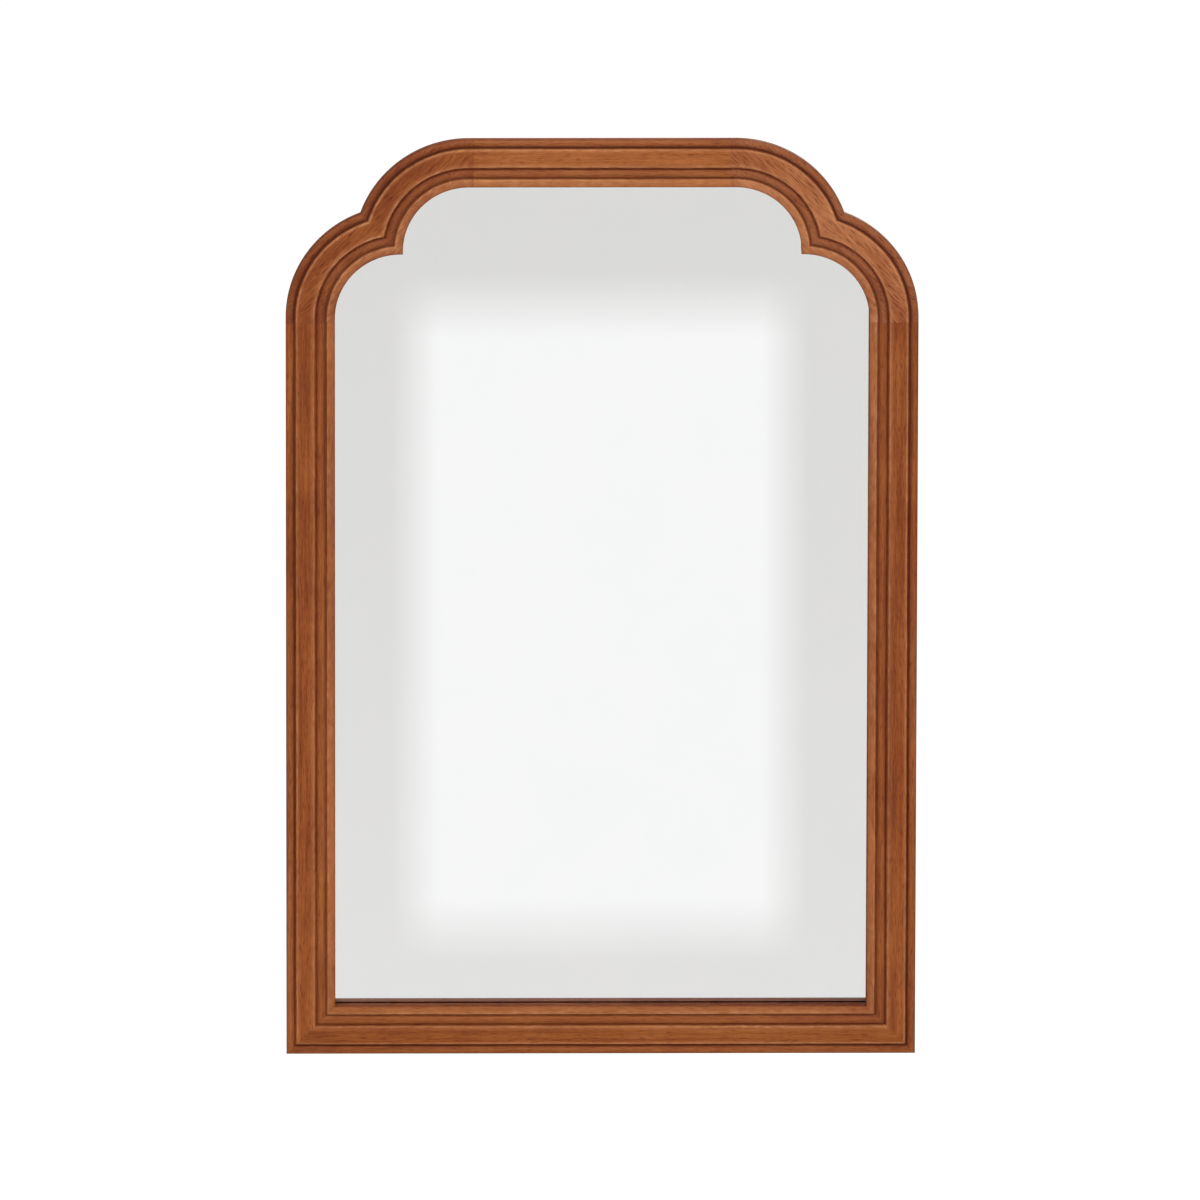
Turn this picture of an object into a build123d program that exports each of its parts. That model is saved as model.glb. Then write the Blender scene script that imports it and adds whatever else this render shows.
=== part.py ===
from build123d import *
import os
from math import asin, atan2, cos, degrees, radians, sin, sqrt

# A portrait wall mirror in a moulded wooden frame. X runs across, Z up, and the front faces -Y.
# The wall is the plane Y = 0. The origin lies on it, midway between the two hooks that carry the
# frame. Depths called heights below are measured up from the frame's flat back, towards the front.

# Overall size
FRAME_WIDTH = 610.0
FRAME_HEIGHT = 914.0
HOOK_DROP = 225.0  # from the frame's top edge down to the hooks
WALL_GAP = 6.5  # from the wall to the frame's back, which the bumpers keep

# Shoulders: each upper corner is two arcs of one radius, which meet in an inward point
ARC_RADIUS = 111.0
UPPER_ARC_INSET = 176.5  # from the side edge in to the upper arc's centre
LOWER_ARC_DROP = 177.5  # from the top edge down to the lower arc's centre
SHOULDER_STRAIGHT = 4.5  # straight moulding that a shoulder block carries past each arc

# Moulding, from its outer edge inwards: bead, raised flat band, smaller bead, flat lip
OUTER_BEAD_WIDTH = 8.0
BAND_WIDTH = 17.4
INNER_BEAD_WIDTH = 8.6
LIP_WIDTH = 7.5
GROOVE_WIDTH = 0.8
WALL_RUN = 1.2  # how far each steep wall beside a groove leans over
BAND_HEIGHT = 22.8
BAND_FALL = 0.3  # the band's outer arris is this much lower than its inner one
OUTER_EDGE_HEIGHT = 21.2
OUTER_BEAD_HEIGHT = 23.4
OUTER_GROOVE_HEIGHT = 19.8
INNER_GROOVE_HEIGHT = 20.2
INNER_BEAD_HEIGHT = 22.6
LIP_GROOVE_HEIGHT = 19.6
LIP_HEIGHT = 21.8
LIP_FALL = 0.4  # the lip's sight edge is this much lower than its outer arris
BEAD_CREST = 0.36  # where each bead's crest lies, as a share of the bead's own width
BAND_OUTER_ROUND = 0.6
BAND_INNER_ROUND = 1.0
LIP_ROUND = 0.5
SIGHT_ROUND = 0.8
BACK_BEVEL_WIDTH = 5.0
BACK_BEVEL_HEIGHT = 14.0

# Rabbet, glass and backing
RABBET_WIDTH = 7.5
RABBET_DEPTH = 8.5
GLASS_THICKNESS = 4.0
GLASS_CLEARANCE = 2.0  # round the glass, which the setting and side blocks fill
GLASS_ARRIS = 0.4
BACKING_THICKNESS = 3.0
BACKING_CLEARANCE = 1.0
SETTING_BLOCK_LENGTH = 40.0
SETTING_BLOCK_OFFSET = 150.0  # from the centre line
SIDE_BLOCK_LENGTH = 30.0
SIDE_BLOCK_RISE = 330.0  # from the bottom edge up to the side blocks

# Glazing points: thin steel blades, half over the backing and half in the wood
POINT_THICKNESS = 0.5
POINT_WIDTH = 6.0
POINT_REACH = 6.5
POINT_BITE = 8.0
POINT_TIP = 3.0
POINT_COUNT_ACROSS = 4
POINT_COUNT_UP = 5
POINT_MARGIN = 70.0  # from a straight run's end to its first point

# Joints between the timbers
DOWEL_DIAMETER = 8.0
DOWEL_LENGTH = 40.0
DOWEL_CHAMFER = 1.0
DOWEL_CLEARANCE = 0.05
DOWEL_END_GAP = 0.6
DOWEL_HEIGHT = 12.5
DOWEL_INSETS = (14.0, 30.0)  # from the frame's outer edge
BISCUIT_LENGTH = 44.0
BISCUIT_WIDTH = 18.0
BISCUIT_THICKNESS = 4.0
BISCUIT_HEIGHT = 14.0
BISCUIT_CLEARANCE = 0.1
BISCUIT_INSET = 24.0
V_NAIL_LEG = 3.5
V_NAIL_THICKNESS = 0.8
V_NAIL_DEPTH = 7.0
V_NAIL_INSETS = (13.0, 30.0)

# Hangers: a strip folded round a D-shaped ring, with two pan-head screws
STRAP_THICKNESS = 1.2
STRAP_WIDTH = 12.0
STRAP_LENGTH = 34.0
STRAP_CORNER = 4.0
RING_WIRE = 3.0
RING_INNER_WIDTH = 15.0
RING_LEG = 8.0  # from the pivot up to the start of the bow
RING_CORNER = 2.5
RING_PLAY = 0.08
RING_REST_GAP = 0.1  # between the ring, leaning back at rest, and the wood
SCREW_DIAMETER = 3.5
SCREW_LENGTH = 16.0
SCREW_TIP = 4.0
SCREW_HEAD_DIAMETER = 7.0
SCREW_HEAD_HEIGHT = 2.2
SCREW_HEAD_ROUND = 1.5
SCREW_RECESS_WIDTH = 1.0
SCREW_RECESS_LENGTH = 4.0
SCREW_RECESS_DEPTH = 1.1
SCREW_CLEARANCE = 0.05
SCREW_DROPS = (9.0, 26.0)  # from the pivot down to each screw

# Rubber bumpers
BUMPER_DIAMETER = 18.0
BUMPER_TOP_DIAMETER = 15.0
BUMPER_ROUND = 0.8
BUMPER_INSET = 22.0  # from the bottom or top edge
LOWER_BUMPER_MARGIN = 60.0  # from the side edge
UPPER_BUMPER_MARGIN = 39.0  # from the top rail's end

# Places that follow from the sizes above
TOP_Z = HOOK_DROP
BOTTOM_Z = TOP_Z - FRAME_HEIGHT
SIDE_X = FRAME_WIDTH / 2
UPPER_ARC_X = SIDE_X - UPPER_ARC_INSET
BEAD_END = OUTER_BEAD_WIDTH
BAND_FOOT = BEAD_END + GROOVE_WIDTH
BAND_START = BAND_FOOT + WALL_RUN
BAND_END = BAND_START + BAND_WIDTH
STEP_FOOT = BAND_END + WALL_RUN
INNER_BEAD_START = STEP_FOOT + GROOVE_WIDTH
INNER_BEAD_END = INNER_BEAD_START + INNER_BEAD_WIDTH
LIP_FOOT = INNER_BEAD_END + GROOVE_WIDTH
LIP_START = LIP_FOOT + WALL_RUN
FACE_WIDTH = LIP_START + LIP_WIDTH
RABBET_WALL = FACE_WIDTH - RABBET_WIDTH

BACK = Plane.XZ.offset(WALL_GAP)
UPPER_CENTRE = Vector(-UPPER_ARC_X, 0, TOP_Z - ARC_RADIUS)
LOWER_CENTRE = Vector(-(SIDE_X - ARC_RADIUS), 0, TOP_Z - LOWER_ARC_DROP)
CENTRES = LOWER_CENTRE - UPPER_CENTRE
MIDWAY = (UPPER_CENTRE + LOWER_CENTRE) * 0.5
TOP_JOINT_X = UPPER_ARC_X - SHOULDER_STRAIGHT
SIDE_JOINT_Z = LOWER_CENTRE.Z - SHOULDER_STRAIGHT

GLASS_INSET = RABBET_WALL + GLASS_CLEARANCE
GLASS_BACK = RABBET_DEPTH - GLASS_THICKNESS
BACKING_BACK = GLASS_BACK - BACKING_THICKNESS
POINT_BACK = BACKING_BACK - POINT_THICKNESS

HANGER_X = SIDE_X - (BACK_BEVEL_WIDTH + RABBET_WALL) / 2
WIRE_RADIUS = RING_WIRE / 2
PIVOT_RADIUS = WIRE_RADIUS + RING_PLAY
KNUCKLE_RADIUS = PIVOT_RADIUS + STRAP_THICKNESS
RING_HALF_WIDTH = RING_INNER_WIDTH / 2 + WIRE_RADIUS
RING_TOP = RING_LEG + RING_HALF_WIDTH
RING_LEAN = asin((KNUCKLE_RADIUS - WIRE_RADIUS - RING_REST_GAP) / RING_TOP)
PIVOT_Z = -(RING_TOP - WIRE_RADIUS) * cos(RING_LEAN)
PIVOT_Y = -WALL_GAP + KNUCKLE_RADIUS
STRAP_BACK_Y = -WALL_GAP + 2 * STRAP_THICKNESS


def cusp(inset):
    """The inward point of the left shoulder, on the outline that lies inset from the outer edge."""
    radius = ARC_RADIUS - inset
    half = CENTRES.length / 2
    outward = Vector(CENTRES.Z, 0, -CENTRES.X).normalized()
    return MIDWAY + outward * sqrt(radius**2 - half**2)


def turn(centre, point):
    """The angle of a point about a centre, in degrees from +X towards +Z."""
    return degrees(atan2(point.Z - centre.Z, point.X - centre.X)) % 360


def draw_left_half(inset):
    """Draw the left half of the outline, inset from the outer edge, in the line that is open."""
    radius = ARC_RADIUS - inset
    side = -SIDE_X + inset
    point = cusp(inset)
    lower_turn = turn(LOWER_CENTRE, point)
    upper_turn = turn(UPPER_CENTRE, point)
    Line((0, BOTTOM_Z + inset), (side, BOTTOM_Z + inset))
    Line((side, BOTTOM_Z + inset), (side, LOWER_CENTRE.Z))
    CenterArc((LOWER_CENTRE.X, LOWER_CENTRE.Z), radius, 180, lower_turn - 180)
    CenterArc((UPPER_CENTRE.X, UPPER_CENTRE.Z), radius, upper_turn, 90 - upper_turn)
    Line((UPPER_CENTRE.X, TOP_Z - inset), (0, TOP_Z - inset))


def draw_bead(start, end, start_height, crest_height, end_height):
    """Draw one rounded bead of the moulding, rising quickly to its crest and falling slowly."""
    crest = start + (end - start) * BEAD_CREST
    ThreePointArc((start, start_height), (crest, crest_height), (end, end_height))


# The moulding's section: X is the distance in from the outer edge, Y the height above the back
with BuildSketch() as moulding:
    with BuildLine():
        Polyline(
            (RABBET_WALL, 0),
            (BACK_BEVEL_WIDTH, 0),
            (0, BACK_BEVEL_HEIGHT),
            (0, OUTER_EDGE_HEIGHT),
        )
        draw_bead(0, BEAD_END, OUTER_EDGE_HEIGHT, OUTER_BEAD_HEIGHT, OUTER_GROOVE_HEIGHT)
        Polyline(
            (BEAD_END, OUTER_GROOVE_HEIGHT),
            (BAND_FOOT, OUTER_GROOVE_HEIGHT),
            (BAND_START, BAND_HEIGHT - BAND_FALL),
            (BAND_END, BAND_HEIGHT),
            (STEP_FOOT, INNER_GROOVE_HEIGHT),
            (INNER_BEAD_START, INNER_GROOVE_HEIGHT),
        )
        draw_bead(
            INNER_BEAD_START,
            INNER_BEAD_END,
            INNER_GROOVE_HEIGHT,
            INNER_BEAD_HEIGHT,
            LIP_GROOVE_HEIGHT,
        )
        Polyline(
            (INNER_BEAD_END, LIP_GROOVE_HEIGHT),
            (LIP_FOOT, LIP_GROOVE_HEIGHT),
            (LIP_START, LIP_HEIGHT),
            (FACE_WIDTH, LIP_HEIGHT - LIP_FALL),
            (FACE_WIDTH, RABBET_DEPTH),
            (RABBET_WALL, RABBET_DEPTH),
            (RABBET_WALL, 0),
        )
    make_face()
    for corner, radius in (
        ((BAND_START, BAND_HEIGHT - BAND_FALL), BAND_OUTER_ROUND),
        ((BAND_END, BAND_HEIGHT), BAND_INNER_ROUND),
        ((LIP_START, LIP_HEIGHT), LIP_ROUND),
        ((FACE_WIDTH, LIP_HEIGHT - LIP_FALL), SIGHT_ROUND),
    ):
        fillet(moulding.vertices().sort_by_distance(corner)[0], radius)

# Dowels across the four butt joints. The joints' planes are square to the dowels.
dowel_places = {
    "stile": [Vector(-SIDE_X + inset, 0, SIDE_JOINT_Z) for inset in DOWEL_INSETS],
    "top": [Vector(-TOP_JOINT_X, 0, TOP_Z - inset) for inset in DOWEL_INSETS],
}
dowel_y = -(WALL_GAP + DOWEL_HEIGHT)

with BuildPart() as left_stile_dowels:
    for place in dowel_places["stile"]:
        with BuildSketch(Plane.XY.offset(place.Z - DOWEL_LENGTH / 2)):
            with Locations((place.X, dowel_y)):
                Circle(DOWEL_DIAMETER / 2)
        extrude(amount=DOWEL_LENGTH)
    chamfer(left_stile_dowels.edges().filter_by(GeomType.CIRCLE), DOWEL_CHAMFER)

with BuildPart() as left_top_dowels:
    for place in dowel_places["top"]:
        with BuildSketch(Plane.YZ.offset(place.X - DOWEL_LENGTH / 2)):
            with Locations((dowel_y, place.Z)):
                Circle(DOWEL_DIAMETER / 2)
        extrude(amount=DOWEL_LENGTH)
    chamfer(left_top_dowels.edges().filter_by(GeomType.CIRCLE), DOWEL_CHAMFER)

with BuildPart() as dowel_holes:
    hole_radius = DOWEL_DIAMETER / 2 + DOWEL_CLEARANCE
    hole_length = DOWEL_LENGTH + 2 * DOWEL_END_GAP
    for place in dowel_places["stile"]:
        with BuildSketch(Plane.XY.offset(place.Z - hole_length / 2)):
            with Locations((place.X, dowel_y)):
                Circle(hole_radius)
        extrude(amount=hole_length)
    for place in dowel_places["top"]:
        with BuildSketch(Plane.YZ.offset(place.X - hole_length / 2)):
            with Locations((dowel_y, place.Z)):
                Circle(hole_radius)
        extrude(amount=hole_length)


def draw_biscuit(length, width):
    """Draw a pressed beech biscuit, two shallow arcs tip to tip, in the sketch that is open."""
    with BuildLine() as rim:
        ThreePointArc((-length / 2, 0), (0, width / 2), (length / 2, 0))
        ThreePointArc((length / 2, 0), (0, -width / 2), (-length / 2, 0))
    make_face(rim.edges())


# A biscuit lies along each mitre, half in the stile and half in the rail
biscuit_plane = Plane(
    origin=(
        -SIDE_X + BISCUIT_INSET,
        -(WALL_GAP + BISCUIT_HEIGHT - BISCUIT_THICKNESS / 2),
        BOTTOM_Z + BISCUIT_INSET,
    ),
    x_dir=(1, 0, 1),
    z_dir=(0, -1, 0),
)

with BuildPart() as left_corner_biscuit:
    with BuildSketch(biscuit_plane):
        draw_biscuit(BISCUIT_LENGTH, BISCUIT_WIDTH)
    extrude(amount=BISCUIT_THICKNESS)

with BuildPart() as biscuit_slot:
    with BuildSketch(biscuit_plane.offset(-BISCUIT_CLEARANCE)):
        draw_biscuit(BISCUIT_LENGTH + 2 * BISCUIT_CLEARANCE, BISCUIT_WIDTH + 2 * BISCUIT_CLEARANCE)
    extrude(amount=BISCUIT_THICKNESS + 2 * BISCUIT_CLEARANCE)


def draw_v_nail():
    """Draw a steel V across a joint that runs along the sketch's Y, in the sketch that is open."""
    rise = V_NAIL_THICKNESS / sqrt(2)
    Polygon(
        (0, 0),
        (V_NAIL_LEG, V_NAIL_LEG),
        (V_NAIL_LEG - rise, V_NAIL_LEG + rise),
        (0, 2 * rise),
        (-V_NAIL_LEG + rise, V_NAIL_LEG + rise),
        (-V_NAIL_LEG, V_NAIL_LEG),
        align=None,
    )


with BuildPart() as left_corner_v_nails:
    for inset in V_NAIL_INSETS:
        with BuildSketch(BACK):
            with Locations(Location((-SIDE_X + inset, BOTTOM_Z + inset), -45)):
                draw_v_nail()
        extrude(amount=V_NAIL_DEPTH)

with BuildPart() as left_shoulder_v_nails:
    for inset in V_NAIL_INSETS:
        with BuildSketch(BACK):
            with Locations(Location((-SIDE_X + inset, SIDE_JOINT_Z), -90)):
                draw_v_nail()
            with Locations(Location((-TOP_JOINT_X, TOP_Z - inset), 180)):
                draw_v_nail()
        extrude(amount=V_NAIL_DEPTH)


def spread(count, low, high):
    """Evenly spaced places from low to high."""
    return [low + (high - low) * step / (count - 1) for step in range(count)]


# Glazing points stand round the rabbet's wall, each with its tip turned outwards
wall_cusp = cusp(RABBET_WALL)
upper_mid = (turn(UPPER_CENTRE, wall_cusp) + 90) / 2
lower_mid = (turn(LOWER_CENTRE, wall_cusp) + 180) / 2
across = spread(POINT_COUNT_ACROSS, -SIDE_X + POINT_MARGIN, SIDE_X - POINT_MARGIN)
upwards = spread(POINT_COUNT_UP, BOTTOM_Z + POINT_MARGIN, SIDE_JOINT_Z)
point_places = [Location((x, BOTTOM_Z + RABBET_WALL), -90) for x in across]
over_top = (-UPPER_ARC_X / 2, UPPER_ARC_X / 2)
point_places += [Location((x, TOP_Z - RABBET_WALL), 90) for x in over_top]
point_places += [Location((-SIDE_X + RABBET_WALL, z), 180) for z in upwards]
point_places += [Location((SIDE_X - RABBET_WALL, z), 0) for z in upwards]
for centre, angle in ((UPPER_CENTRE, upper_mid), (LOWER_CENTRE, lower_mid)):
    reach = ARC_RADIUS - RABBET_WALL
    x = centre.X + reach * cos(radians(angle))
    z = centre.Z + reach * sin(radians(angle))
    point_places += [Location((x, z), angle), Location((-x, z), 180 - angle)]

with BuildPart() as glazing_points:
    with BuildSketch(BACK.offset(POINT_BACK)):
        with Locations(*point_places):
            Polygon(
                (-POINT_REACH, -POINT_WIDTH / 2),
                (POINT_BITE - POINT_TIP, -POINT_WIDTH / 2),
                (POINT_BITE, 0),
                (POINT_BITE - POINT_TIP, POINT_WIDTH / 2),
                (-POINT_REACH, POINT_WIDTH / 2),
                align=None,
            )
    extrude(amount=POINT_THICKNESS)

# One pan-head screw, with its tip towards -Y and the underside of its head at the origin
with BuildPart() as screw:
    with BuildSketch(Plane.XY) as screw_section:
        with BuildLine():
            Polyline(
                (0, SCREW_HEAD_HEIGHT),
                (0, -SCREW_LENGTH),
                (SCREW_DIAMETER / 2, -SCREW_LENGTH + SCREW_TIP),
                (SCREW_DIAMETER / 2, 0),
                (SCREW_HEAD_DIAMETER / 2, 0),
                (SCREW_HEAD_DIAMETER / 2, SCREW_HEAD_HEIGHT),
                (0, SCREW_HEAD_HEIGHT),
            )
        make_face()
        rim_corner = (SCREW_HEAD_DIAMETER / 2, SCREW_HEAD_HEIGHT)
        fillet(screw_section.vertices().sort_by_distance(rim_corner)[0], SCREW_HEAD_ROUND)
    revolve(axis=Axis.Y)
    with BuildSketch(Plane.XZ.offset(-SCREW_HEAD_HEIGHT)):
        Rectangle(SCREW_RECESS_LENGTH, SCREW_RECESS_WIDTH)
        Rectangle(SCREW_RECESS_WIDTH, SCREW_RECESS_LENGTH)
    extrude(amount=SCREW_RECESS_DEPTH, mode=Mode.SUBTRACT)

with BuildPart() as left_hanger_screws:
    with Locations(*[(-HANGER_X, STRAP_BACK_Y, PIVOT_Z - drop) for drop in SCREW_DROPS]):
        add(screw.part)

with BuildPart() as screw_holes:
    with BuildSketch(Plane.XZ.offset(-STRAP_BACK_Y)):
        with Locations(*[(-HANGER_X, PIVOT_Z - drop) for drop in SCREW_DROPS]):
            Circle(SCREW_DIAMETER / 2 + SCREW_CLEARANCE)
    extrude(amount=SCREW_LENGTH + SCREW_CLEARANCE)

# The strap: a strip folded double round the ring's bar, flat on the wood below it
with BuildPart() as left_hanger_strap:
    with BuildSketch(Plane.YZ.offset(-HANGER_X - STRAP_WIDTH / 2)):
        with Locations((PIVOT_Y, PIVOT_Z)):
            Circle(KNUCKLE_RADIUS)
        with Locations((-WALL_GAP, PIVOT_Z)):
            Rectangle(2 * STRAP_THICKNESS, STRAP_LENGTH, align=(Align.MIN, Align.MAX))
        with Locations((PIVOT_Y, PIVOT_Z)):
            Circle(PIVOT_RADIUS, mode=Mode.SUBTRACT)
    extrude(amount=STRAP_WIDTH)
    foot_corners = left_hanger_strap.edges().filter_by(Axis.Y).group_by(Axis.Z)[0]
    fillet(foot_corners, STRAP_CORNER)
    add(screw_holes.part, mode=Mode.SUBTRACT)

# The ring leans back at rest, so that its bow almost touches the wood above the strap
ring_plane = Plane(
    origin=(-HANGER_X, PIVOT_Y, PIVOT_Z),
    x_dir=(1, 0, 0),
    z_dir=(0, -cos(RING_LEAN), -sin(RING_LEAN)),
)

with BuildPart() as left_d_ring:
    with BuildLine(ring_plane) as ring_path:
        FilletPolyline(
            (0, 0),
            (-RING_HALF_WIDTH, 0),
            (-RING_HALF_WIDTH, RING_LEG),
            radius=RING_CORNER,
        )
        ThreePointArc((-RING_HALF_WIDTH, RING_LEG), (0, RING_TOP), (RING_HALF_WIDTH, RING_LEG))
        FilletPolyline(
            (RING_HALF_WIDTH, RING_LEG),
            (RING_HALF_WIDTH, 0),
            (0, 0),
            radius=RING_CORNER,
        )
    with BuildSketch(Plane(origin=ring_plane.origin, x_dir=(0, 1, 0), z_dir=(1, 0, 0))):
        Circle(WIRE_RADIUS)
    sweep(path=ring_path.wire())


def bumper_at(x, z):
    """A rubber bumper stuck on the frame's back, tapering to the wall."""
    with BuildPart() as bumper:
        with BuildSketch(BACK):
            with Locations((x, z)):
                Circle(BUMPER_DIAMETER / 2)
        with BuildSketch(Plane.XZ):
            with Locations((x, z)):
                Circle(BUMPER_TOP_DIAMETER / 2)
        loft()
        fillet(bumper.edges().sort_by(Axis.Y)[-1], BUMPER_ROUND)
    return bumper


lower_bumper_x = SIDE_X - LOWER_BUMPER_MARGIN
upper_bumper_x = TOP_JOINT_X - UPPER_BUMPER_MARGIN
bumper_lower_left = bumper_at(-lower_bumper_x, BOTTOM_Z + BUMPER_INSET)
bumper_lower_right = bumper_at(lower_bumper_x, BOTTOM_Z + BUMPER_INSET)
bumper_upper_left = bumper_at(-upper_bumper_x, TOP_Z - BUMPER_INSET)
bumper_upper_right = bumper_at(upper_bumper_x, TOP_Z - BUMPER_INSET)

# The mirror glass and its backing board follow the rabbet, shoulders and all
with BuildPart() as mirror_glass:
    with BuildSketch(BACK.offset(GLASS_BACK)):
        with BuildLine():
            draw_left_half(GLASS_INSET)
            mirror(about=Plane.YZ)
        make_face()
    extrude(amount=GLASS_THICKNESS)
    chamfer(mirror_glass.faces().sort_by(Axis.Y)[0].edges(), GLASS_ARRIS)

with BuildPart() as backing_board:
    with BuildSketch(BACK.offset(BACKING_BACK)):
        with BuildLine():
            draw_left_half(RABBET_WALL + BACKING_CLEARANCE)
            mirror(about=Plane.YZ)
        make_face()
    extrude(amount=BACKING_THICKNESS)

# Blocks between the glass's edge and the rabbet's wall
with BuildPart() as left_setting_block:
    with BuildSketch(BACK.offset(GLASS_BACK)):
        with Locations((-SETTING_BLOCK_OFFSET, BOTTOM_Z + RABBET_WALL)):
            Rectangle(SETTING_BLOCK_LENGTH, GLASS_CLEARANCE, align=(Align.CENTER, Align.MIN))
    extrude(amount=GLASS_THICKNESS)

with BuildPart() as left_side_block:
    with BuildSketch(BACK.offset(GLASS_BACK)):
        with Locations((-SIDE_X + RABBET_WALL, BOTTOM_Z + SIDE_BLOCK_RISE)):
            Rectangle(GLASS_CLEARANCE, SIDE_BLOCK_LENGTH, align=(Align.MIN, Align.CENTER))
    extrude(amount=GLASS_THICKNESS)

# Right-hand pieces are the left-hand ones, mirrored
with BuildPart() as right_stile_dowels:
    mirror(left_stile_dowels.part, about=Plane.YZ)
with BuildPart() as right_top_dowels:
    mirror(left_top_dowels.part, about=Plane.YZ)
with BuildPart() as right_corner_biscuit:
    mirror(left_corner_biscuit.part, about=Plane.YZ)
with BuildPart() as right_hanger_screws:
    mirror(left_hanger_screws.part, about=Plane.YZ)
with BuildPart() as right_hanger_strap:
    mirror(left_hanger_strap.part, about=Plane.YZ)
with BuildPart() as right_d_ring:
    mirror(left_d_ring.part, about=Plane.YZ)
with BuildPart() as right_setting_block:
    mirror(left_setting_block.part, about=Plane.YZ)
with BuildPart() as right_side_block:
    mirror(left_side_block.part, about=Plane.YZ)
with BuildPart() as corner_v_nails:
    add(left_corner_v_nails.part)
    mirror(left_corner_v_nails.part, about=Plane.YZ)
with BuildPart() as shoulder_v_nails:
    add(left_shoulder_v_nails.part)
    mirror(left_shoulder_v_nails.part, about=Plane.YZ)

# Everything that is let into the left half of the frame's wood
with BuildPart() as left_pockets:
    add(dowel_holes.part)
    add(biscuit_slot.part)
    add(left_corner_v_nails.part)
    add(left_shoulder_v_nails.part)
    add(screw_holes.part)
with BuildPart() as right_pockets:
    mirror(left_pockets.part, about=Plane.YZ)

# Timbers. Each section's plane has its X pointing inwards and its Y pointing to the front.
left_mitre = Plane(origin=(-SIDE_X, 0, BOTTOM_Z), z_dir=(-1, 0, 1))
right_mitre = Plane(origin=(SIDE_X, 0, BOTTOM_Z), z_dir=(1, 0, 1))
shoulder_mitre = Plane(origin=MIDWAY, z_dir=UPPER_CENTRE - LOWER_CENTRE)

bottom_end = Plane(origin=(-SIDE_X, -WALL_GAP, BOTTOM_Z), x_dir=(0, 0, 1), z_dir=(1, 0, 0))
stile_end = Plane(origin=(-SIDE_X, -WALL_GAP, SIDE_JOINT_Z), x_dir=(1, 0, 0), z_dir=(0, 0, -1))
rail_end = Plane(origin=(TOP_JOINT_X, -WALL_GAP, TOP_Z), x_dir=(0, 0, -1), z_dir=(-1, 0, 0))

with BuildPart() as bottom_rail:
    with BuildSketch(bottom_end):
        add(moulding.sketch)
    extrude(amount=FRAME_WIDTH)
    split(bisect_by=left_mitre, keep=Keep.BOTTOM)
    split(bisect_by=right_mitre, keep=Keep.BOTTOM)
    add(left_pockets.part, mode=Mode.SUBTRACT)
    add(right_pockets.part, mode=Mode.SUBTRACT)
    add(glazing_points.part, mode=Mode.SUBTRACT)

with BuildPart() as left_stile:
    with BuildSketch(stile_end):
        add(moulding.sketch)
    extrude(amount=SIDE_JOINT_Z - BOTTOM_Z)
    split(bisect_by=left_mitre, keep=Keep.TOP)
    add(left_pockets.part, mode=Mode.SUBTRACT)
    add(glazing_points.part, mode=Mode.SUBTRACT)

with BuildPart() as right_stile:
    mirror(left_stile.part, about=Plane.YZ)

with BuildPart() as top_rail:
    with BuildSketch(rail_end):
        add(moulding.sketch)
    extrude(amount=2 * TOP_JOINT_X)
    add(left_pockets.part, mode=Mode.SUBTRACT)
    add(right_pockets.part, mode=Mode.SUBTRACT)
    add(glazing_points.part, mode=Mode.SUBTRACT)

# Each arc is turned on its own centre as far as the line to the other centre, then cut off in
# the plane where the two arcs meet, which makes the inward point
upper_sweep = turn(UPPER_CENTRE, LOWER_CENTRE) - 90
lower_sweep = 180 - turn(LOWER_CENTRE, UPPER_CENTRE)
top_end = Plane(
    origin=(-UPPER_ARC_X, -WALL_GAP, TOP_Z),
    x_dir=(0, 0, -1),
    z_dir=(-1, 0, 0),
)
side_end = Plane(
    origin=(-SIDE_X, -WALL_GAP, LOWER_CENTRE.Z),
    x_dir=(1, 0, 0),
    z_dir=(0, 0, -1),
)

with BuildPart() as upper_arc:
    with BuildSketch(top_end):
        add(moulding.sketch)
    revolve(axis=Axis(UPPER_CENTRE, (0, -1, 0)), revolution_arc=upper_sweep)
    split(bisect_by=shoulder_mitre, keep=Keep.TOP)

with BuildPart() as lower_arc:
    with BuildSketch(side_end):
        add(moulding.sketch)
    revolve(axis=Axis(LOWER_CENTRE, (0, 1, 0)), revolution_arc=lower_sweep)
    split(bisect_by=shoulder_mitre, keep=Keep.BOTTOM)

with BuildPart() as left_shoulder:
    with BuildSketch(top_end):
        add(moulding.sketch)
    extrude(amount=-SHOULDER_STRAIGHT)
    with BuildSketch(side_end):
        add(moulding.sketch)
    extrude(amount=SHOULDER_STRAIGHT)
    add(upper_arc.part)
    add(lower_arc.part)
    add(left_pockets.part, mode=Mode.SUBTRACT)
    add(glazing_points.part, mode=Mode.SUBTRACT)

with BuildPart() as right_shoulder:
    mirror(left_shoulder.part, about=Plane.YZ)

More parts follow.
